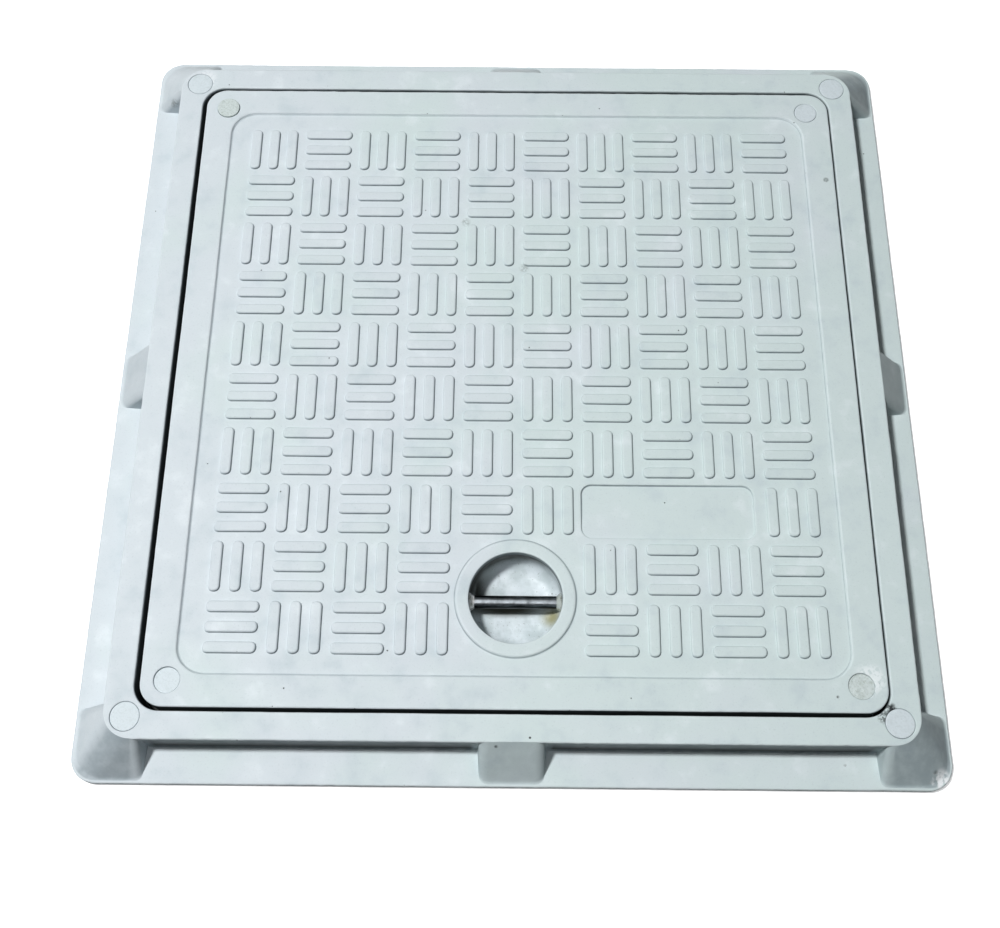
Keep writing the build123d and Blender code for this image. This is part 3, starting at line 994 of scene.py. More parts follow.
@dataclass
class FrameMoulding:
    """The frame: flange, rim with eight ramps outside it, rebate, ledge and cored-out underside."""

    rim_half: float = 179.0
    rim_radius: float = 13.0
    rebate_half: float = 166.6
    rebate_radius: float = 12.0
    opening_half: float = 150.0
    opening_radius: float = 8.0
    ledge_height: float = 4.0
    flange_thickness: float = 3.5
    flange_radius: float = 12.0
    edge: float = 0.8
    ramp_toe: float = 14.7
    ramp_half_width: float = 14.5
    corner_ramp_from: float = 162.7
    ramp_round_up: float = 4.2
    ramp_round_middle: float = 4.2
    ramp_round_corner: float = 3.3
    ramp_draft: float = 0.7
    fillet: float = 1.0
    socket_radius: float = 6.5
    socket_depth: float = 4.0
    core_half: tuple[float, float] = (2.8, 26.0)
    core_pitch: float = 57.04
    core_top: float = 15.5
    step: float = 2.6

    def __post_init__(self) -> None:
        """Take the overall sizes from the CAD node."""
        box = Extent.of("frame")
        self.flange_half = float(box.half[0])
        self.height = float(box.high[2])

    def ramp_drop(self, along: Array, full: float) -> Array:
        """How far each column of a side lies below the ramp's plane.

        Nothing in the middle of a ramp, h (1 - sqrt(1 - q^2)) over its rounded flanks, and the full
        height where there is no ramp.

        Args:
            along: distances from the side's middle.
            full: the height of the ramp at the rim.

        Returns:
            The drop at each distance.
        """
        middle = self.ramp_half_width - np.abs(along)
        corner = np.abs(along) - self.corner_ramp_from
        inside = np.maximum(middle, corner)
        width = np.where(middle > corner, self.ramp_round_middle, self.ramp_round_corner)
        share = np.clip(1 - inside / width, 0, 1)
        rounded = self.ramp_round_up * (1 - np.sqrt(1 - share**2))
        return np.where(inside < -1e-6, full, rounded)

    def stations(self) -> Array:
        """Place the columns along a side: evenly, and closer together over the ramps' flanks.

        Returns:
            Distances from the side's middle.
        """
        limit = self.rim_half - self.rim_radius
        even = np.linspace(-limit, limit, 2 * int(limit / self.step) + 1)
        round_over = 1 - np.sin(np.radians((90, 75, 60, 42, 22, 0)))
        middle = self.ramp_half_width - self.ramp_round_middle * round_over
        corner = self.corner_ramp_from + self.ramp_round_corner * round_over
        outer = (self.ramp_half_width + self.ramp_draft, self.corner_ramp_from - self.ramp_draft)
        special = np.concatenate((middle, corner, outer))
        special = np.concatenate((special, -special))
        gap = np.abs(even[:, None] - special).min(axis=1)
        between = (np.abs(even) > self.ramp_half_width - 1e-3) & (np.abs(even) < outer[0])
        between |= (np.abs(even) > outer[1]) & (np.abs(even) < self.corner_ramp_from + 1e-3)
        kept = even[((gap > 0.6) & ~between) | (np.abs(np.abs(even) - limit) < 1e-6)]
        return np.unique(np.round(np.concatenate((kept, special)), 6))

    def ring(self, out: Array, along: Array, corner_steps: int = 12, straight_steps: int = 4) -> Array:
        """Lay out one ring of the outer skin.

        A side runs straight at its distance out. A corner runs straight on to its own arc, round a
        quarter circle, and straight again, with the same steps on every ring, so that the skin between
        two rings is plane, cone and plane.

        Args:
            out: distance out from the rim's face of each side column, shape (N,).
            along: places of the side columns.
            corner_steps: steps round the arc.
            straight_steps: steps along each straight.

        Returns:
            Points of shape (4 (N + M), 2).
        """
        limit = self.rim_half - self.rim_radius
        reach = float(out[-1])
        share = np.clip(reach / self.ramp_toe, 0, 1)
        radius = self.rim_radius + share * (self.flange_radius - self.rim_radius) + min(reach, 0.0)
        if reach > self.ramp_toe + 1e-6:
            radius = self.flange_radius - max(0.0, self.flange_half - self.rim_half - reach)
        half = self.rim_half + reach
        straight = np.linspace(limit, half - radius, straight_steps + 1)[1:]
        turn = np.linspace(math.pi / 2, 0, corner_steps + 1)[1:-1]
        arc = half - radius + radius * np.stack((np.cos(turn), np.sin(turn)), -1)
        side = np.stack((along, self.rim_half + out), -1)
        before = np.stack((straight, np.full_like(straight, half)), -1)
        after = before[::-1, ::-1][1:]
        one = np.concatenate((side, before, arc, np.array([[half, half - radius]]), after))
        turns = [a * math.pi / 2 for a in range(4)]
        spin = [np.array([[math.cos(a), -math.sin(a)], [math.sin(a), math.cos(a)]]) for a in turns]
        return np.concatenate([one @ turn for turn in spin])

    def with_painted_shade(self, rings: Array, wear: Array, walled: Array) -> Array:
        """Spread the rings' rubbing and painted shade over their points.

        Shade is painted on the upright wall and at its foot, most of it on the right and in front, away from
        the light. A ramp gets only a thin coat of painted shade, and a corner ramp a little more than the
        others.

        Args:
            rings: the outer rings, shape (R, N, 3).
            wear: the rubbing and painted shade of each ring.
            walled: how clear each side column is of the ramps, from 0 to 1.

        Returns:
            The wear of each point, shape (R, N).
        """
        corner = rings.shape[1] // 4 - len(walled)
        upright = np.tile(np.concatenate((walled, np.zeros(corner))), 4)[::-1]
        at_corner = np.tile(np.concatenate((walled < -1, np.ones(corner, bool))), 4)[::-1]
        # Painted shade is strongest on the sides that face right and to the front.
        toward = np.maximum(rings[..., 0], -rings[..., 1]) / np.abs(rings[..., :2]).max(-1)
        facing = np.clip(10 * toward - 9, 0.35, 1.0)
        ramp_shade = np.where(at_corner, 0.78 * facing**2, 0.5 * np.maximum(facing, 0.7))
        painted_shade_level = np.maximum(wear[:, None], -ramp_shade)
        shaded_wear = upright * wear[:, None] * facing + (1 - upright) * painted_shade_level
        return np.where(wear[:, None] < 0, shaded_wear, wear[:, None])

    def outer_rings(self) -> tuple[Array, Array]:
        """Work out the outer skin from the rim's top edge down to the underside.

        Each column is a path in its own upright plane: round the rim's edge, down the wall as far as
        the ramp, along the ramp to its toe, round a fillet, out over the flange, round its edge and down.

        Returns:
            Rings of shape (R, N, 3), and the rubbing and painted shade of each point.
        """
        along = self.stations()
        top, floor = self.height, self.flange_thickness
        run = self.flange_half - self.rim_half
        lean = math.radians(47)
        lip_out = self.edge * (math.sin(lean) - 1)
        lip_up = top - self.edge * (1 - math.cos(lean))
        slope = (lip_up - floor) / (self.ramp_toe - lip_out)
        at_rim = lip_up + slope * lip_out
        drop = self.ramp_drop(along, at_rim - floor)
        walled = np.clip(drop / 0.6, 0, 1)
        turn_end = lean + (math.pi / 2 - lean) * walled
        foot_up = np.maximum(at_rim - drop, floor + self.fillet)
        foot = np.stack(((1 - walled) * lip_out, (1 - walled) * lip_up + walled * foot_up), -1)
        toe = np.stack((np.maximum((at_rim - floor - drop) / slope, 0), np.full_like(along, floor)), -1)
        incoming = toe - foot
        length = np.linalg.norm(incoming, axis=1, keepdims=True)
        incoming = incoming / np.maximum(length, 1e-9)
        arrive = toe - incoming * np.minimum(self.fillet, length)
        leave = toe + np.array([self.fillet, 0.0])
        paths: list[Array] = []
        wear: list[float] = []
        paths.append(np.stack((np.full_like(along, -1.1), np.full_like(along, top)), -1))
        wear.append(0.0)
        for share, tone in ((0.0, 0.15), (0.33, 0.6), (0.66, 0.9), (1.0, 0.5)):
            angle = share * turn_end
            outward = self.edge * (np.sin(angle) - 1)
            paths.append(np.stack((outward, top - self.edge * (1 - np.cos(angle))), -1))
            wear.append(tone)
        start = paths[-1]
        # Painted shade down the rim's wall, darker towards its foot.
        for share in (0.15, 0.4, 0.7, 1.0):
            paths.append(start * (1 - share) + foot * share)
            wear.append(-1.3 - 1.1 * share)
        # Painted shade along the ramps and at the wall's foot.
        for share in np.linspace(0, 1, 7)[1:]:
            paths.append(foot * (1 - share) + arrive * share)
            wear.append(-2.3)
        # Painted shade round the fillet at the foot, fading out onto the flange.
        for share in (0.35, 0.7, 1.0):
            paths.append(arrive * (1 - share) ** 2 + 2 * toe * share * (1 - share) + leave * share**2)
            wear.append(-1.6 if share < 0.9 else -0.3)
        edge_start = np.array([run - self.edge, floor])
        for share in (0.12, 0.4, 0.7, 0.93, 1.0):
            paths.append(leave * (1 - share) + edge_start * share)
            wear.append(0.0)
        for angle, tone in ((30, 0.5), (60, 0.7), (90, 0.3)):
            a = math.radians(angle)
            rounded = np.array([run, floor]) - self.edge * (1 - np.array([math.sin(a), math.cos(a)]))
            paths.append(np.broadcast_to(rounded, toe.shape))
            wear.append(tone)
        for out, up in ((run, 1.5), (run, 0.35), (run - 0.3, 0.0)):
            paths.append(np.broadcast_to(np.array([out, up]), toe.shape))
            wear.append(0.0)
        rings = np.stack([self._ring_of(path, along) for path in paths])[:, ::-1]
        away = np.minimum(np.abs(along) - self.ramp_half_width, self.corner_ramp_from - np.abs(along))
        return rings, self.with_painted_shade(rings, np.array(wear), np.clip((away - self.ramp_draft - 0.2) / 2.0, 0, 1))

    def _ring_of(self, path: Array, along: Array) -> Array:
        """Make a ring whose corners follow the last column of its side.

        Args:
            path: distance out and height of each side column, shape (N, 2).
            along: places of the side columns.

        Returns:
            Points of the whole ring.
        """
        flat = self.ring(path[:, 0], along)
        corner = len(flat) // 4 - len(along)
        heights = np.tile(np.concatenate((path[:, 1], np.full(corner, path[-1, 1]))), 4)
        return raised(flat, heights)

    def build(self, finish: bpy.types.Material) -> bpy.types.Object:
        """Build and dress the frame.

        Args:
            finish: its material.

        Returns:
            The dressed piece.
        """
        skin = Skin()
        rings, wear = self.outer_rings()
        skin.rings(rings[::-1], wear[::-1])
        rebate = rounded_rectangle(self.rebate_half, self.rebate_half, self.rebate_radius, 12, 120)
        opening = rounded_rectangle(self.opening_half, self.opening_half, self.opening_radius, 12, 60)
        # The rebate: its edge rubbed pale, and shade painted down its wall into the gap round the cover.
        into = Section(
            (1.1, 0.6, 0.35, 0.12, 0.0, 0.0, 0.0),
            (0.0, -0.03, -0.12, -0.35, -0.8, -2.0, self.ledge_height - self.height),
            (0.0, 0.3, 0.6, 0.4, -0.3, -2.0, -2.5),
        )
        wall = skin.edge(into, rebate, self.height)
        mouth = Section(
            (0.4, 0.12, 0.0, 0.0, 0.3), (0.0, -0.12, -0.4, 0.4 - self.ledge_height, -self.ledge_height),
            (0, 0.6, 0.3, 0, 0),
        )
        lip = skin.edge(mouth, opening, self.ledge_height)
        skin.flat((wall[-1], lip[0]), 6.0)
        socket = circle(self.socket_radius, 40)
        sockets = []
        offset = Extent.of("frame_plug_back_right").centre[0]
        for corner in Corner:
            rings_down = skin.edge(SOCKET, socket + offset * np.array(corner.value), self.height)
            bottom = rings_down[-1].copy()
            bottom[:, 2] = self.height - self.socket_depth
            # Painted shade on the hole's lower wall and its bottom.
            skin.rings(np.stack((rings_down[-1], bottom)), -1.0, capped=True)
            sockets.append(rings_down[0])
        skin.flat((rings[0], wall[0], *sockets), 4.0)
        cores = self.core_rings()
        skin.rings(cores, 0.0, capped=True)
        skin.flat((rings[-1], lip[-1], *cores[:, 0]), 8.0)
        piece = skin.build("frame_moulding_skin", warp=0.09, seed=11)
        return dress(piece, finish, Body.FRAME, Slot.FRAME, "frame")

    def core_rings(self) -> Array:
        """Lay out the hollows under the rim: five along each side, with a small draft and a rounded roof.

        Returns:
            Rings of shape (hollows, R, N, 3).
        """
        outline = rounded_rectangle(*self.core_half, self.core_half[0] * 0.66, 4, 1)
        heights = (0.0, 0.3, self.core_top - 0.6, self.core_top)
        section = Section((0.25, 0.0, -0.25, -0.6), heights, (0, 0, 0, 0))
        one = section.along(outline)
        one = one + np.array([(self.rebate_half + self.rim_half) / 2, 0, 0])
        rows = one + np.arange(-2, 3)[:, None, None, None] * np.array([0, self.core_pitch, 0])
        spin = [Matrix.Rotation(k * math.pi / 2, 3, "Z") for k in range(4)]
        return np.concatenate([rows @ np.array(turn) for turn in spin])


@dataclass
class Tread:
    """Raised bars in blocks of three, laid along and across by turns on a square grid."""

    pitch: float = 28.5
    cells: int = 10
    offset: tuple[float, float] = (1.0, -0.45)
    bar_length: float = 24.0
    bar_width: float = 5.2
    bar_pitch: float = 9.4
    bars: int = 3
    corner_radius: float = 2.2
    # Section of a bar: shade painted at its foot and partway up its side, and its top edge rubbed pale.
    section: Section = Section(
        (0.4, 0.05, -0.12, -0.45, -0.95), (0.0, 0.05, 0.72, 1.07, 1.2), (0.0, -2.3, -0.5, 0.35, 0.0)
    )

    def rings(
        self, centre: Array, height: float, cup: Array, cup_reach: float, plate: Array, plate_half: Array
    ) -> Array:
        """Place every bar that the cup's ring and the sunk panel leave room for.

        Args:
            centre: the cover's middle.
            height: height of the floor that the bars stand on.
            cup: the cup's centre.
            cup_reach: radius of the ring round the cup.
            plate: the sunk panel's centre.
            plate_half: half of the sunk panel's size.

        Returns:
            Rings of shape (bars, R, N, 3).
        """
        line = (np.arange(self.cells) - (self.cells - 1) / 2) * self.pitch
        column, row = np.meshgrid(np.arange(self.cells), np.arange(self.cells))
        places = np.stack((line[column], line[::-1][row]), -1) + self.offset + centre[:2]
        half = self.bar_length / 2
        beside = np.maximum(np.abs(places - cup[:2]) - half, 0)
        clear = (beside**2).sum(-1) > cup_reach**2
        clear &= (np.abs(places - plate[:2]) > half + plate_half[:2]).any(-1)
        outline = rounded_rectangle(self.bar_width / 2, self.bar_length / 2, self.corner_radius, 3)
        bar = self.section.along(outline, height)
        shift = (np.arange(self.bars) - (self.bars - 1) / 2) * self.bar_pitch
        block = bar + raised(np.stack((shift, 0 * shift), -1), 0.0)[:, None, None]
        upright = clear & ((row + column) % 2 == 0)
        across = clear & ((row + column) % 2 == 1)
        quarter = np.array([[0.0, 1.0, 0.0], [-1.0, 0.0, 0.0], [0.0, 0.0, 1.0]])
        placed = [
            shape + raised(places[chosen], 0.0)[:, None, None, None]
            for shape, chosen in ((block, upright), (block @ quarter, across))
        ]
        return np.concatenate([p.reshape(-1, *bar.shape) for p in placed])

    def wear(self, rings: Array) -> Array:
        """Rub every bar's top edge pale, and paint shade at its foot, most of it on the right and in front.

        Args:
            rings: the bars' rings.

        Returns:
            The rubbing and painted shade of each point.
        """
        side = rings[:, 1:2, :, :2] - rings[:, :1, :, :2]
        side = side / np.linalg.norm(side, axis=-1, keepdims=True)
        # Painted shade at the foot is strongest on the sides that face right and to the front.
        painted_shade_level = np.clip(0.25 - side @ np.array([0.75, -0.75]), 0.08, 1.0)
        tone = np.broadcast_to(np.array(self.section.wear)[:, None], rings.shape[:3])
        return np.where(tone < 0, tone * painted_shade_level, tone)


@dataclass
class CoverMoulding:
    """The cover: border, sunk floor with its tread, blank panel, ring round the cup, ribs underneath."""

    corner_radius: float = 10.5
    border: float = 14.5
    floor_drop: float = 1.2
    floor_radius: float = 13.0
    panel_half: tuple[float, float] = (40.25, 13.25)
    panel_centre: tuple[float, float] = (71.2, -72.0)
    panel_radius: float = 5.0
    ring_width: float = 6.3
    rib_pitch: float = 36.0
    pocket_half: float = 16.0
    pocket_radius: float = 3.0
    rib_cells: int = 8
    skin: float = 5.0
    boss_radius: float = 32.6
    socket_radius: float = 5.8
    socket_depth: float = 3.0
    slot_end: float = 29.1
    slot_half: float = 4.0
    bore_radius: float = 23.7
    tread: Tread = field(default_factory=Tread)

    def __post_init__(self) -> None:
        """Take the overall sizes and places from the CAD nodes."""
        box = Extent.of("cover_plate")
        cup = Extent.of("lift_cup")
        self.centre, self.half = box.centre, float(box.half[0])
        self.top, self.bottom = Extent.of("frame").high[2], float(box.low[2])
        self.cup = cup.centre
        self.mouth = float(cup.half[0]) - CupMoulding.wall
        self.cup_top = float(cup.high[2])

    def about(self, outline: Array) -> Array:
        """Shift an outline from the cover's middle to its place."""
        return outline + self.centre[:2]

    def build(self, finish: bpy.types.Material) -> bpy.types.Object:
        """Build and dress the cover.

        Args:
            finish: its material.

        Returns:
            The dressed piece.
        """
        skin = Skin()
        floor = self.top - self.floor_drop
        body = self.about(rounded_rectangle(self.half, self.half, self.corner_radius, 12, 120))
        side = skin.edge(EDGE_DOWN, body, self.top)
        # Painted shade on the cover's side in the gap, fading out before its underside.
        edge_up = Section((0.0, 0.0, -0.35, -1.2), (0.8, 0.35, 0.0, 0.0), (-1.0, 0, 0, 0))
        foot = edge_up.along(body, self.bottom)
        down = np.concatenate((side[-1:], foot))
        skin.rings(down, (-2.2, -1.5, 0, 0, 0))
        inner_half = self.half - self.border
        well = self.about(rounded_rectangle(inner_half, inner_half, self.floor_radius, 12, 100))
        # The step down to the sunk floor: rubbed pale over its edge, with shade painted at its foot.
        step = Section(
            (0.8, 0.32, 0.0, -0.14, -0.42, -1.1), (0.0, -0.05, -0.4, -0.9, -1.14, -1.2),
            (0, 0.5, 0.8, 0, -0.8, 0.0),
        )
        well_rings = skin.edge(step, well, self.top)
        sockets = self.sockets(skin)
        skin.flat((side[0], well_rings[0], *sockets), 4.0)
        bars = self.tread.rings(
            self.centre, floor, self.cup, self.mouth + self.ring_width,
            self.centre[:2] + self.panel_centre, np.array(self.panel_half),
        )
        skin.rings(bars, self.tread.wear(bars), capped=True)
        panel = self.sunk_panel(skin, floor)
        ring = self.cup_ring(skin, floor)
        skin.flat((well_rings[-1], ring[0], panel, *bars[:, 0]), 5.0)
        self.underside(skin, down[-1], ring[-1])
        piece = skin.build("cover_moulding_skin", warp=0.08, seed=23)
        LOG.info("tread: %d bars", len(bars))
        return dress(piece, finish, Body.COVER, Slot.COVER, "cover_plate")

    def sockets(self, skin: Skin) -> list[Array]:
        """Sink the blind holes for the corner plugs, with their edges left round and shade painted down them.

        Args:
            skin: the skin that takes the patches.

        Returns:
            The top loop of each hole.
        """
        offset = Extent.of("cover_plug_back_right").centre[0] - self.centre[0]
        loops = []
        for corner in Corner:
            outline = self.about(circle(self.socket_radius, 40) + offset * np.array(corner.value))
            rings = skin.edge(SOCKET, outline, self.top)
            bottom = rings[-1].copy()
            bottom[:, 2] = self.top - self.socket_depth
            # Painted shade on the hole's lower wall and its bottom.
            skin.rings(np.stack((rings[-1], bottom)), -1.0, capped=True)
            loops.append(rings[0])
        return loops

    def sunk_panel(self, skin: Skin, floor: float) -> Array:
        """Sink the blank panel in the floor, with shade painted at the foot of its wall, most of it at the
        back and on the left.

        Args:
            skin: the skin that takes the patches.
            floor: height of the floor round it.

        Returns:
            The panel's outer loop.
        """
        shape = rounded_rectangle(*self.panel_half, self.panel_radius, 8, 12)
        outline = self.about(shape + self.panel_centre)
        section = Section(
            (0.8, 0.3, 0.05, -0.06, -0.16, -0.8), (0.0, -0.03, -0.18, -0.7, -0.88, -0.9),
            (0, 0.0, 0.3, -0.6, -2.0, 0.0),
        )
        rings = section.along(outline, floor)
        # Painted shade is strongest on the walls at the back and on the left, which face away from the light.
        toward = (outline - self.centre[:2] - self.panel_centre) / self.panel_half
        shaded = np.clip(0.25 + toward @ np.array([-0.45, 0.8]), 0.15, 1.0)
        skin.rings(rings, np.array(section.wear)[:, None] * shaded)
        skin.flat((rings[-1],), 5.0)
        return rings[0]

    def cup_ring(self, skin: Skin, floor: float) -> Array:
        """Turn the raised ring round the cup, over its flat top and down the mouth to the lip's underside.

        Args:
            skin: the skin that takes the patches.
            floor: height of the floor round it.

        Returns:
            The rings, from the floor to the lip's underside.
        """
        outer = self.mouth + self.ring_width
        rise = np.array([
            (outer + 0.7, floor), (outer + 0.1, floor + 0.06), (outer - 0.15, floor + 0.5),
            (outer - 0.4, self.top - 0.3), (outer - 0.85, self.top - 0.04), (outer - 1.6, self.top),
        ])
        fall = np.array([
            (self.mouth + 1.3, self.top), (self.mouth + 0.45, self.top - 0.05),
            (self.mouth + 0.12, self.top - 0.3), (self.mouth, self.top - 0.9),
            (self.mouth, self.cup_top + 0.5), (self.mouth, self.cup_top),
        ])
        rings = turned(np.concatenate((rise, fall)), self.cup, 120)
        # Painted shade at the ring's foot and down the mouth's wall; its top edges rubbed pale.
        skin.rings(rings, (0, -1.2, 0, 0.4, 0.5, 0, 0, 0.6, 0.2, -0.9, -1.8, -2.2))
        return rings

    def bore(self) -> Array:
        """Lay out the cup's bore with the two slots for the bar's ends.

        Returns:
            The closed outline.
        """
        meet = math.asin(self.slot_half / self.bore_radius)
        turn = np.linspace(meet, math.pi - meet, 48)
        arc = self.bore_radius * np.stack((np.cos(turn), np.sin(turn)), -1)
        ends = np.array([(-self.slot_end, self.slot_half), (-self.slot_end, -self.slot_half)])
        return np.concatenate((arc, ends, -arc, -ends)) + self.cup[:2]

    def underside(self, skin: Skin, edge_loop: Array, lip_loop: Array) -> None:
        """Pockets between the ribs, the boss round the cup, and the bore that takes the cup.

        Args:
            skin: the skin that takes the patches.
            edge_loop: the lowest ring of the cover's side.
            lip_loop: the lowest ring of the mouth.
        """
        line = (np.arange(self.rib_cells) - (self.rib_cells - 1) / 2) * self.rib_pitch
        places = np.stack(np.meshgrid(line, line), -1).reshape(-1, 2) + self.centre[:2]
        near = np.hypot(*np.maximum(np.abs(places - self.cup[:2]) - self.pocket_half, 0).T) < self.boss_radius
        depth = self.top - self.skin - self.bottom
        section = Section(
            (0.5, 0.12, 0.0, -0.25, -0.8, -1.8), (0.0, 0.12, 0.5, depth - 1.6, depth - 0.5, depth), (0,) * 6
        )
        square = rounded_rectangle(self.pocket_half, self.pocket_half, self.pocket_radius, 5, 1)
        whole = section.along(square, self.bottom) + raised(places[~near], 0.0)[:, None, None]
        skin.rings(whole, 0.0, capped=True)
        loops = list(whole[:, 0])
        fine = rounded_rectangle(self.pocket_half, self.pocket_half, self.pocket_radius, 5, 16)
        for place in places[near]:
            cut = bitten(fine + place, self.cup[:2], self.boss_radius)
            rings = skin.edge(Section((0.0, 0.0), (0.0, depth), (0, 0)), cut, self.bottom)
            skin.flat((rings[-1],), 6.0)
            loops.append(rings[0])
        bore = self.bore()
        wall = np.stack((raised(bore, self.bottom), raised(bore, self.cup_top)))
        skin.rings(wall)
        skin.flat((wall[1], lip_loop), 6.0)
        skin.flat((edge_loop, wall[0], *loops), 9.0)


@dataclass
class CupMoulding:
    """The deep cup bonded up under the cover, drilled through for the bar's resin."""

    wall: float = 2.2
    floor: float = 1.8
    bowl_radius: float = 7.0
    outer_radius: float = 2.2
    hole_radius: float = 4.05
    steps: int = 96

    def build(self, finish: bpy.types.Material) -> bpy.types.Object:
        """Turn the cup's profile, make its floor uneven, and drill it for the bar.

        The profile is (R - r (1 - cos t), z + r (1 - sin t)) round the bowl and round the base.

        Args:
            finish: its material.

        Returns:
            The dressed piece.
        """
        box = Extent.of("lift_cup")
        outer = float(box.half[0])
        inner = outer - self.wall
        top, bottom = float(box.high[2]), float(box.low[2])
        floor = bottom + self.floor
        turn = np.radians(np.linspace(0, 90, 10))
        quarter = np.stack((np.cos(turn) - 1, 1 - np.sin(turn)), -1)
        bowl = np.array([inner, floor]) + self.bowl_radius * quarter
        base = np.array([outer, bottom]) + self.outer_radius * quarter
        across = np.linspace(inner - self.bowl_radius, 0, 8)[1:]
        rim = np.array([(inner + 0.25, top), (inner, top - 0.3), (inner, floor + self.bowl_radius + 1.5)])
        inside = np.concatenate((rim, bowl, np.stack((across, np.full_like(across, floor)), -1)))
        under = np.array([(0.0, bottom), (outer / 2, bottom)])
        outside = np.concatenate((under, base[::-1], np.array([(outer, top - 0.3), (outer - 0.25, top)])))
        inner_rings = turned(inside, box.centre, self.steps)
        lumpy = waves(inner_rings, 5, 11.0) * 0.22 + waves(inner_rings, 6, 5.0) * 0.08
        share = np.clip((top - 2.0 - inner_rings[..., 2]) / 6.0, 0, 1)
        inner_rings[..., 2] += lumpy * share - 0.12 * share
        inner_rings[-1] = inner_rings[-1].mean(axis=0)
        outer_rings = turned(outside, box.centre, self.steps)
        skin = Skin()
        # Painted shade on the cup's inner wall, darkest at the top where it meets the mouth and fading out
        # onto the floor, mostly on the left and back, which the light does not reach.
        depth = np.interp(inside[:, 1], (floor + 0.5, floor + self.bowl_radius, top), (0.0, 1.1, 2.2))
        toward_shaded_side = circle(1.0, self.steps) @ np.array([-0.8, 0.6])
        skin.rings(inner_rings, -depth[:, None] * np.clip(0.35 + 0.9 * toward_shaded_side, 0.0, 1.0))
        skin.rings(outer_rings)
        skin.rings(np.stack((outer_rings[-1], inner_rings[0])))
        piece = skin.build("lift_cup_skin")
        self.drill(piece)
        return dress(piece, finish, Body.COVER, Slot.CUP, "lift_cup")

    def drill(self, piece: bpy.types.Object) -> None:
        """Cut the round hole that runs through both walls along X, and apply the cut.

        Args:
            piece: the cup.
        """
        axis = Extent.of("lift_bar").centre
        reach = Extent.of("lift_cup").half[0] + 3
        ends = np.linspace(-reach, reach, 2)
        ring = circle(self.hole_radius, 40)
        tube = np.stack([axis + np.concatenate((np.full((len(ring), 1), x), ring), axis=1) for x in ends])
        skin = Skin()
        skin.rings(tube, capped=True)
        skin.rings(tube[:1], capped=True)
        drill = skin.build("cup_drill")
        cut = piece.modifiers.new("bar_holes", "BOOLEAN")
        cut.operation, cut.object, cut.solver = "DIFFERENCE", drill, "EXACT"
        bpy.context.view_layer.objects.active = piece
        piece.modifiers.move(1, 0)
        bpy.ops.object.modifier_apply(modifier=cut.name)
        bpy.data.objects.remove(drill)


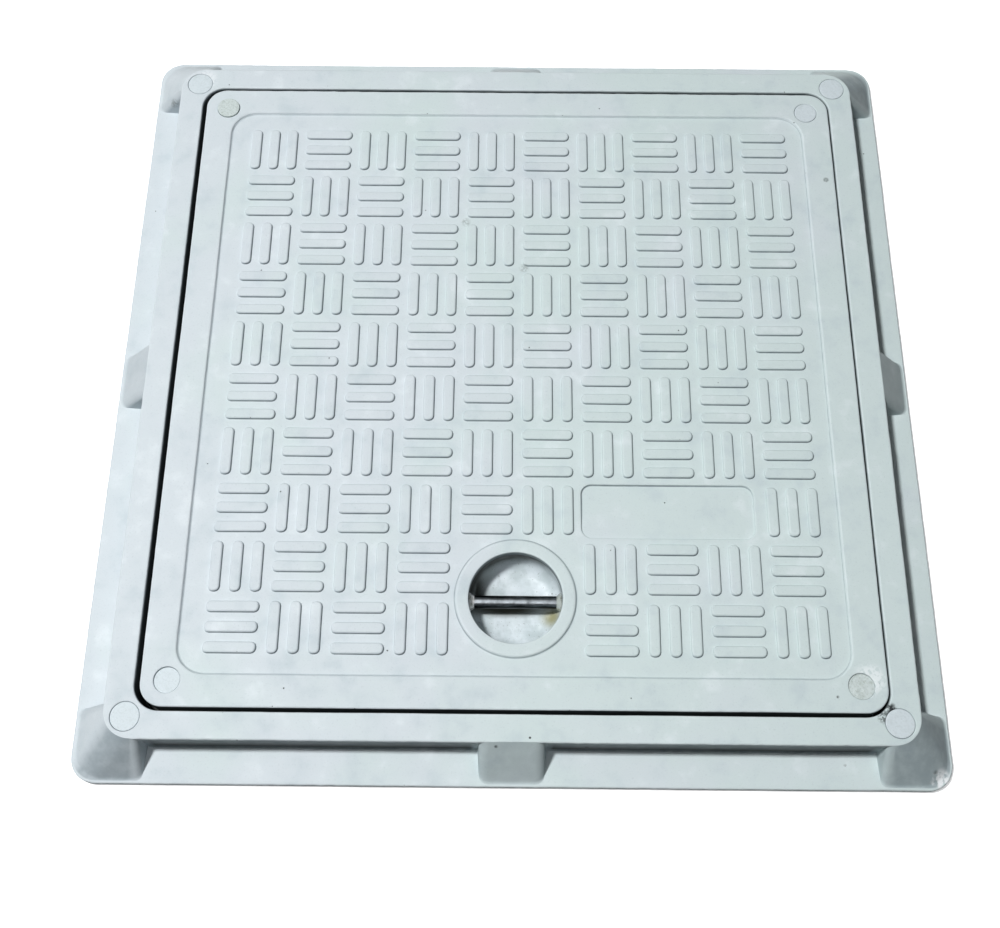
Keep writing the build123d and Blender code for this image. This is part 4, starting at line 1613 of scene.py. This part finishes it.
@dataclass
class LiftBar:
    """The round bar across the cup, and the resin that holds each end."""

    end_chamfer: float = 0.3
    # Direction, about the bar's axis, of the lit strip left free of painted shade.
    lit_side: float = 1.75
    steps: int = 48

    def bar(self, finish: bpy.types.Material) -> bpy.types.Object:
        """Carry a circle along the bar's axis, its radius uneven by a few hundredths.

        Shade is painted over the bar except on a strip that faces up and a little to the front, where the
        light falls.

        Args:
            finish: its material.

        Returns:
            The dressed piece.
        """
        box = Extent.of("lift_bar")
        reach, radius = float(box.half[0]), float(box.half[2])
        plain = reach - self.end_chamfer
        along = np.concatenate(([-reach], np.linspace(-plain, plain, 60), [reach]))
        size = np.full_like(along, radius - 0.03)
        size[[0, -1]] -= self.end_chamfer
        ring = circle(1.0, self.steps)
        rings = np.stack((
            np.broadcast_to(along[:, None], (len(along), self.steps)),
            size[:, None] * ring[:, 0], size[:, None] * ring[:, 1],
        ), -1)
        rings[..., 1:] *= 1 + 0.008 * waves(rings, 31, 9.0)[..., None]
        # Painted shade over all but the bar's lit top, with a slightly wavy edge; rubbed here is how far a
        # point faces the lit strip.
        facing = ring @ np.array([math.cos(self.lit_side), math.sin(self.lit_side)])
        rubbed = facing + 0.12 * waves(rings, 33, 6.0)
        skin = Skin()
        skin.rings(rings + box.centre, -np.clip((0.86 - rubbed) / 0.22, 0, 1), capped=True)
        skin.rings(rings[:1] + box.centre, capped=True)
        return dress(skin.build("lift_bar_rod"), finish, Body.COVER, Slot.BAR, "lift_bar")

    def bond(self, side: str, finish: bpy.types.Material) -> bpy.types.Object:
        """Resin at one end of the bar: a block in the boss's slot, a neck through the wall, a ragged collar.

        Its skin is a radius about the bar's axis, as a function of the angle and the distance along it.

        Args:
            side: left or right.
            finish: its material.

        Returns:
            The dressed piece.
        """
        node = f"bar_bond_{side}"
        box, bar, cup = Extent.of(node), Extent.of("lift_bar"), Extent.of("lift_cup")
        way = 1.0 if side == "right" else -1.0
        outer, inner = cup.half[0], cup.half[0] - CupMoulding.wall
        end = bar.half[0] + 0.6
        turn = np.linspace(0, 2 * math.pi, 56, endpoint=False)
        flat = np.stack((np.cos(turn), np.sin(turn)), -1)
        reach = np.array([box.half[1], box.high[2] - bar.centre[2]]) - 0.02
        depth = np.array([box.half[1], bar.centre[2] - box.low[2]]) - 0.02
        limits = np.where(flat > 0, reach, depth)
        block = (limits / np.maximum(np.abs(flat), 1e-6)).min(axis=1)
        ragged = np.random.default_rng(41 if side == "left" else 47)
        lobes = sum(ragged.uniform(0.2, 0.7) * np.sin(k * turn + ragged.uniform(0, 6)) for k in (2, 3, 5))
        fan = 0.9 * np.clip(np.cos(turn - math.pi / 2), 0, 1) if side == "left" else 0.2 + 0 * turn
        even = np.ones_like(turn)
        neck, core = 4.0, 2.98
        profile = (
            (end, 0 * even), (end, block - 0.3), (end - 0.3, block), (outer + 0.25, block),
            (outer + 0.2, neck * even), (inner + 0.05, neck * even),
            (inner - 0.25, 4.55 + lobes * 0.5 + fan), (inner - 0.9, 4.2 + lobes * 0.6 + fan * 0.6),
            (inner - 1.6, 3.75 + lobes * 0.3), (inner - 2.2, 3.3 + lobes * 0.12),
            (inner - 2.5, 3.0 * even), (inner - 1.5, core * even), (bar.half[0], core * even),
            (bar.half[0], 0 * even),
        )
        rings = np.stack([
            np.concatenate((way * along * even[:, None], np.maximum(radius, 0)[:, None] * flat), axis=1)
            for along, radius in profile
        ])
        skin = Skin()
        skin.rings(rings + bar.centre)
        return dress(skin.build(f"bar_bond_{side}_resin"), finish, Body.COVER, Slot.BOND, node)


@dataclass
class Plug:
    """A round plug in a blind hole, its top rough from being struck off, with a rolled edge."""

    node: str
    rough: float = 0.08
    tilt: tuple[float, float] = (0.0, 0.0)
    island: float = 0.0
    steps: int = 48

    def build(self, finish: bpy.types.Material) -> bpy.types.Object:
        """Build and dress the plug.

        The top is a disc whose height is the plug's own, plus a tilt, plus a raised island inside a
        shallow ring, plus seeded roughness.

        Args:
            finish: its material.

        Returns:
            The dressed piece.
        """
        box = Extent.of(self.node)
        radius = float(box.half[0]) - 0.04
        top, bottom = float(box.high[2]), float(box.low[2]) + 0.02
        shares = np.array([0.0, 0.12, 0.25, 0.38, 0.5, 0.6, 0.68, 0.75, 0.82, 0.88, 0.93])
        profile = np.concatenate((
            np.stack((shares * radius, np.full_like(shares, top)), -1),
            np.array([(radius * 0.975, top - 0.05), (radius, top - 0.3), (radius, bottom), (0.0, bottom)]),
        ))
        rings = turned(profile, box.centre, self.steps)
        away = (rings[..., :2] - box.centre[:2]) / radius
        inward = np.clip((0.95 - np.linalg.norm(away, axis=-1)) / 0.3, 0, 1)
        seed = sum(map(ord, self.node))
        uneven = waves(rings, seed, 4.0, 9) + 0.7 * waves(rings, seed + 1, 1.8, 9)
        lift = self.rough * uneven + away @ np.array(self.tilt) + self.island * (inward > 0.6)
        drop = np.minimum(lift - self.rough - sum(map(abs, self.tilt)) - self.island, 0)
        rings[: len(shares) + 1, :, 2] += drop[: len(shares) + 1]
        rings[0] = rings[0].mean(axis=0)
        skin = Skin()
        wear = [0.0] * len(shares) + [0.5, -0.6, 0.0, 0.0]
        skin.rings(rings, wear)
        body = Body.COVER if self.node.startswith("cover") else Body.FRAME
        return dress(skin.build(f"{self.node}_disc"), finish, body, Slot.PLUG, self.node)


@dataclass
class SeatGasket:
    """The rubber strip on the ledge, with its edges rounded."""

    edge: float = 0.35

    def build(self, finish: bpy.types.Material) -> bpy.types.Object:
        """Build and dress the strip: its section carried round both of its outlines.

        Args:
            finish: its material.

        Returns:
            The dressed piece.
        """
        box = Extent.of("seat_gasket")
        outer = rounded_rectangle(box.half[0], box.half[0], 11.0, 10, 60)
        inner_half = FrameMoulding.opening_half + 1.0
        inner = rounded_rectangle(inner_half, inner_half, 8.0, 10, 60)
        low, high, e = float(box.low[2]), float(box.high[2]), self.edge
        wall = ((0.0, e), (-e * 0.3, e * 0.3), (-e, 0.0))
        skin = Skin()
        rows = [raised(grown(outer, out), low + up) for out, up in wall[::-1]]
        rows += [raised(grown(outer, out), high - up) for out, up in wall]
        rows += [raised(grown(inner, -out), high - up) for out, up in wall[::-1]]
        rows += [raised(grown(inner, -out), low + up) for out, up in wall]
        rows.append(rows[0])
        skin.rings(np.stack(rows))
        return dress(skin.build("seat_gasket_strip"), finish, Body.FRAME, Slot.GASKET, "seat_gasket")


# ---------------------------------------------------------------- studio


@dataclass
class Studio:
    """Plain pale floor, one small soft light high on the left, weak fills and the camera."""

    camera_place: tuple[float, float, float] = (-4.86, -269.5, 568.98)
    elevation: float = 68.124
    azimuth: float = -0.398
    roll: float = 0.147
    lens: float = 45.18
    key_way: tuple[float, float, float] = (-0.4, 0.04, 1.0)
    key_distance: float = 2.1
    key_size: float = 0.2
    key_power: float = 42.0
    surroundings: tuple[float, float] = (0.022, 0.8)
    floor_half: float = 12.0

    def build(self) -> None:
        """Build the floor, the lights, the world and the camera."""
        self.floor()
        self.light("key_light", self.key_way, self.key_distance, self.key_size, self.key_power, "#ffffff")
        self.light("overhead_fill", (0.0, 0.3, 1.0), 1.9, 1.6, 1.2, "#f8fbff")
        self.light("window_left", (-1.0, 0.15, 0.6), 1.7, 1.1, 1.4, "#f9fbff")
        self.light("front_fill", (-0.05, -0.55, 1.0), 0.95, 0.4, 1.15, "#fdfdff")
        self.world()
        self.camera()
        bpy.context.scene.view_settings.view_transform = "Standard"

    def floor(self) -> None:
        """Lay the floor as one grid under the origin."""
        line = np.linspace(-self.floor_half, self.floor_half, 9) * 1000
        grid = raised(np.stack(np.meshgrid(line, line), -1), -0.02)
        skin = Skin()
        index = np.arange(line.size**2).reshape(line.size, line.size)
        faces = np.stack((index[:-1, :-1], index[:-1, 1:], index[1:, 1:], index[1:, :-1]), -1)
        skin.patch(grid, 0.0, [faces.reshape(-1, 4)])
        floor = skin.build("studio_floor")
        floor.data.materials.append(PaleFloor("seamless_white_paper").material())
        floor.visible_diffuse = False

    def light(
        self, name: str, way: Sequence[float], distance: float, size: float, power: float, code: str
    ) -> None:
        """Hang a square light, and aim it at the origin.

        Args:
            name: the light's name.
            way: its direction from the origin.
            distance: how far it is in metres.
            size: length of its side in metres.
            power: its power in watts.
            code: sRGB hex code of its colour.
        """
        lamp = bpy.data.lights.new(name, "AREA")
        lamp.energy, lamp.size = power, size
        lamp.color = linear(code)[:3]
        holder = bpy.data.objects.new(name, lamp)
        aim = Vector(way).normalized()
        holder.location = aim * distance
        holder.rotation_euler = aim.to_track_quat("Z", "Y").to_euler()
        bpy.context.scene.collection.objects.link(holder)

    def world(self) -> None:
        """Light the surroundings: dim for the object, and pale where the camera looks past the floor."""
        world = bpy.data.worlds.new("pale_room")
        world.use_nodes = True
        bpy.context.scene.world = world
        tree = world.node_tree
        tree.nodes.clear()
        seen = add_node(tree, "ShaderNodeLightPath").outputs["Is Camera Ray"]
        dim, pale = self.surroundings
        settings = {"To Min": dim, "To Max": pale}
        share = add_node(tree, "ShaderNodeMapRange", settings, {"Value": seen}).outputs[0]
        light = add_node(tree, "ShaderNodeBackground", {"Color": linear("#eef3f8")}, {"Strength": share})
        add_node(tree, "ShaderNodeOutputWorld", links={"Surface": light.outputs[0]})

    def camera(self) -> None:
        """Set up the camera from its place and its three angles."""
        data = bpy.data.cameras.new("camera")
        data.lens, data.sensor_width = self.lens, 36.0
        data.clip_start, data.clip_end = 0.02, 60.0
        camera = bpy.data.objects.new("camera", data)
        high, side = math.radians(self.elevation), math.radians(self.azimuth)
        ahead = Vector((math.sin(side) * math.cos(high), math.cos(side) * math.cos(high), -math.sin(high)))
        right = ahead.cross(Vector((0, 0, 1))).normalized()
        right = Matrix.Rotation(-math.radians(self.roll), 3, ahead) @ right
        above = right.cross(ahead)
        facing = Matrix((right, above, -ahead)).transposed().to_4x4()
        camera.matrix_world = Matrix.Translation(Vector(self.camera_place) * MM) @ facing
        bpy.context.scene.collection.objects.link(camera)
        bpy.context.scene.camera = camera


FRAME_MARKS = (
    Mark((165.7, -162.9, 20.0), 3.4, "#2c3335", 1.0, 2.5),
    Mark((162.5, -166.2, 20.0), 4.0, "#3f4648", 0.8, 0.7),
    Mark((189.0, -190.5, 3.5), 6.0, "#f4f8fa", 0.9, 4.0),
    Mark((186.0, -187.5, 5.5), 2.2, "#3b4443", 0.9, 4.0),
    Mark((-185.5, 160.7, 12.0), 5.0, "#4f5652", 0.6),
    Mark((-166.0, 172.0, 20.0), 8.0, "#eef3f6", 0.4, 1.5),
    Mark((-172.0, 165.0, 20.0), 1.6, "#7d8886", 0.7, 5.0),
    Mark((183.0, 155.6, 15.0), 4.5, "#454c49", 0.7),
    Mark((-6.9, -180.0, 17.6), 1.3, "#161b1a", 1.0, 9.0),
    Mark((7.8, -176.8, 20.0), 0.7, "#161b1a", 1.0, 9.0),
    Mark((33.0, -179.0, 10.0), 1.4, "#161b1a", 1.0, 9.0),
    Mark((177.5, -24.6, 20.0), 1.0, "#252c2a", 1.0, 9.0),
    Mark((147.7, -184.7, 3.5), 0.9, "#252c2a", 1.0, 9.0),
)
COVER_MARKS = (
    Mark((158.0, -150.0, 20.0), 9.0, "#eef4f6", 0.6, 1.5),
    # Painted shade: two grey blotches stand for the shading of small burrs on the floor, which the mesh does
    # not have.
    Mark((-25.0, 84.6, 18.8), 3.0, "#8d9896", 0.6),
    Mark((4.7, 57.9, 18.8), 3.0, "#8d9896", 0.6),
    Mark((161.2, 111.3, 20.0), 2.0, "#6d7775", 0.7),
    Mark((143.0, -157.8, 20.0), 0.9, "#252c2a", 1.0, 9.0),
)


def main() -> None:
    """Build the object and its studio."""
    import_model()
    pale = MouldedPolyester("moulded_glass_fibre_polyester_frame", marks=FRAME_MARKS).material()
    cover = MouldedPolyester("moulded_glass_fibre_polyester_cover", marks=COVER_MARKS).material()
    FrameMoulding().build(pale)
    CoverMoulding().build(cover)
    bar = Extent.of("lift_bar").centre
    # The cup's stain, and its painted shadows on the left of the bowl and under the bar.
    gel = GelCoat(
        "brushed_gel_coat", stain_place=tuple(bar + (17, -5, -6)), shadow_place=tuple(bar + (-24, 6, -4)),
        rod_shade=tuple(bar + (-4, -1.0, -6)),
    )
    CupMoulding().build(gel.material())
    lift = LiftBar()
    lift.bar(DrawnSteel("drawn_mild_steel").material())
    lift.bond("left", CuredResin("cured_polyester_resin_milky", "#fdfefe", "#b9bbb0").material())
    lift.bond("right", CuredResin("cured_polyester_resin_clear", "#aab2ae", "#5f6457").material())
    filler = SetFiller("struck_off_filler").material()
    coarse = SetFiller("struck_off_filler_coarse", "#c3cecd", "#97a39b", 0.65).material()
    for corner in Corner:
        name = corner.name.lower()
        uneven = corner in (Corner.BACK_LEFT, Corner.FRONT_RIGHT)
        lean = (0.16, -0.1) if corner in (Corner.FRONT_LEFT, Corner.FRONT_RIGHT) else (0.04, 0.0)
        Plug(f"cover_plug_{name}", 0.16 if uneven else 0.05, lean).build(coarse if uneven else filler)
        Plug(f"frame_plug_{name}", 0.05, island=0.04).build(filler)
    SeatGasket().build(ExtrudedRubber("extruded_epdm_rubber").material())
    Studio().build()


if __name__ == "__main__":
    logging.basicConfig(level=logging.INFO, format="%(name)s: %(message)s")
    main()
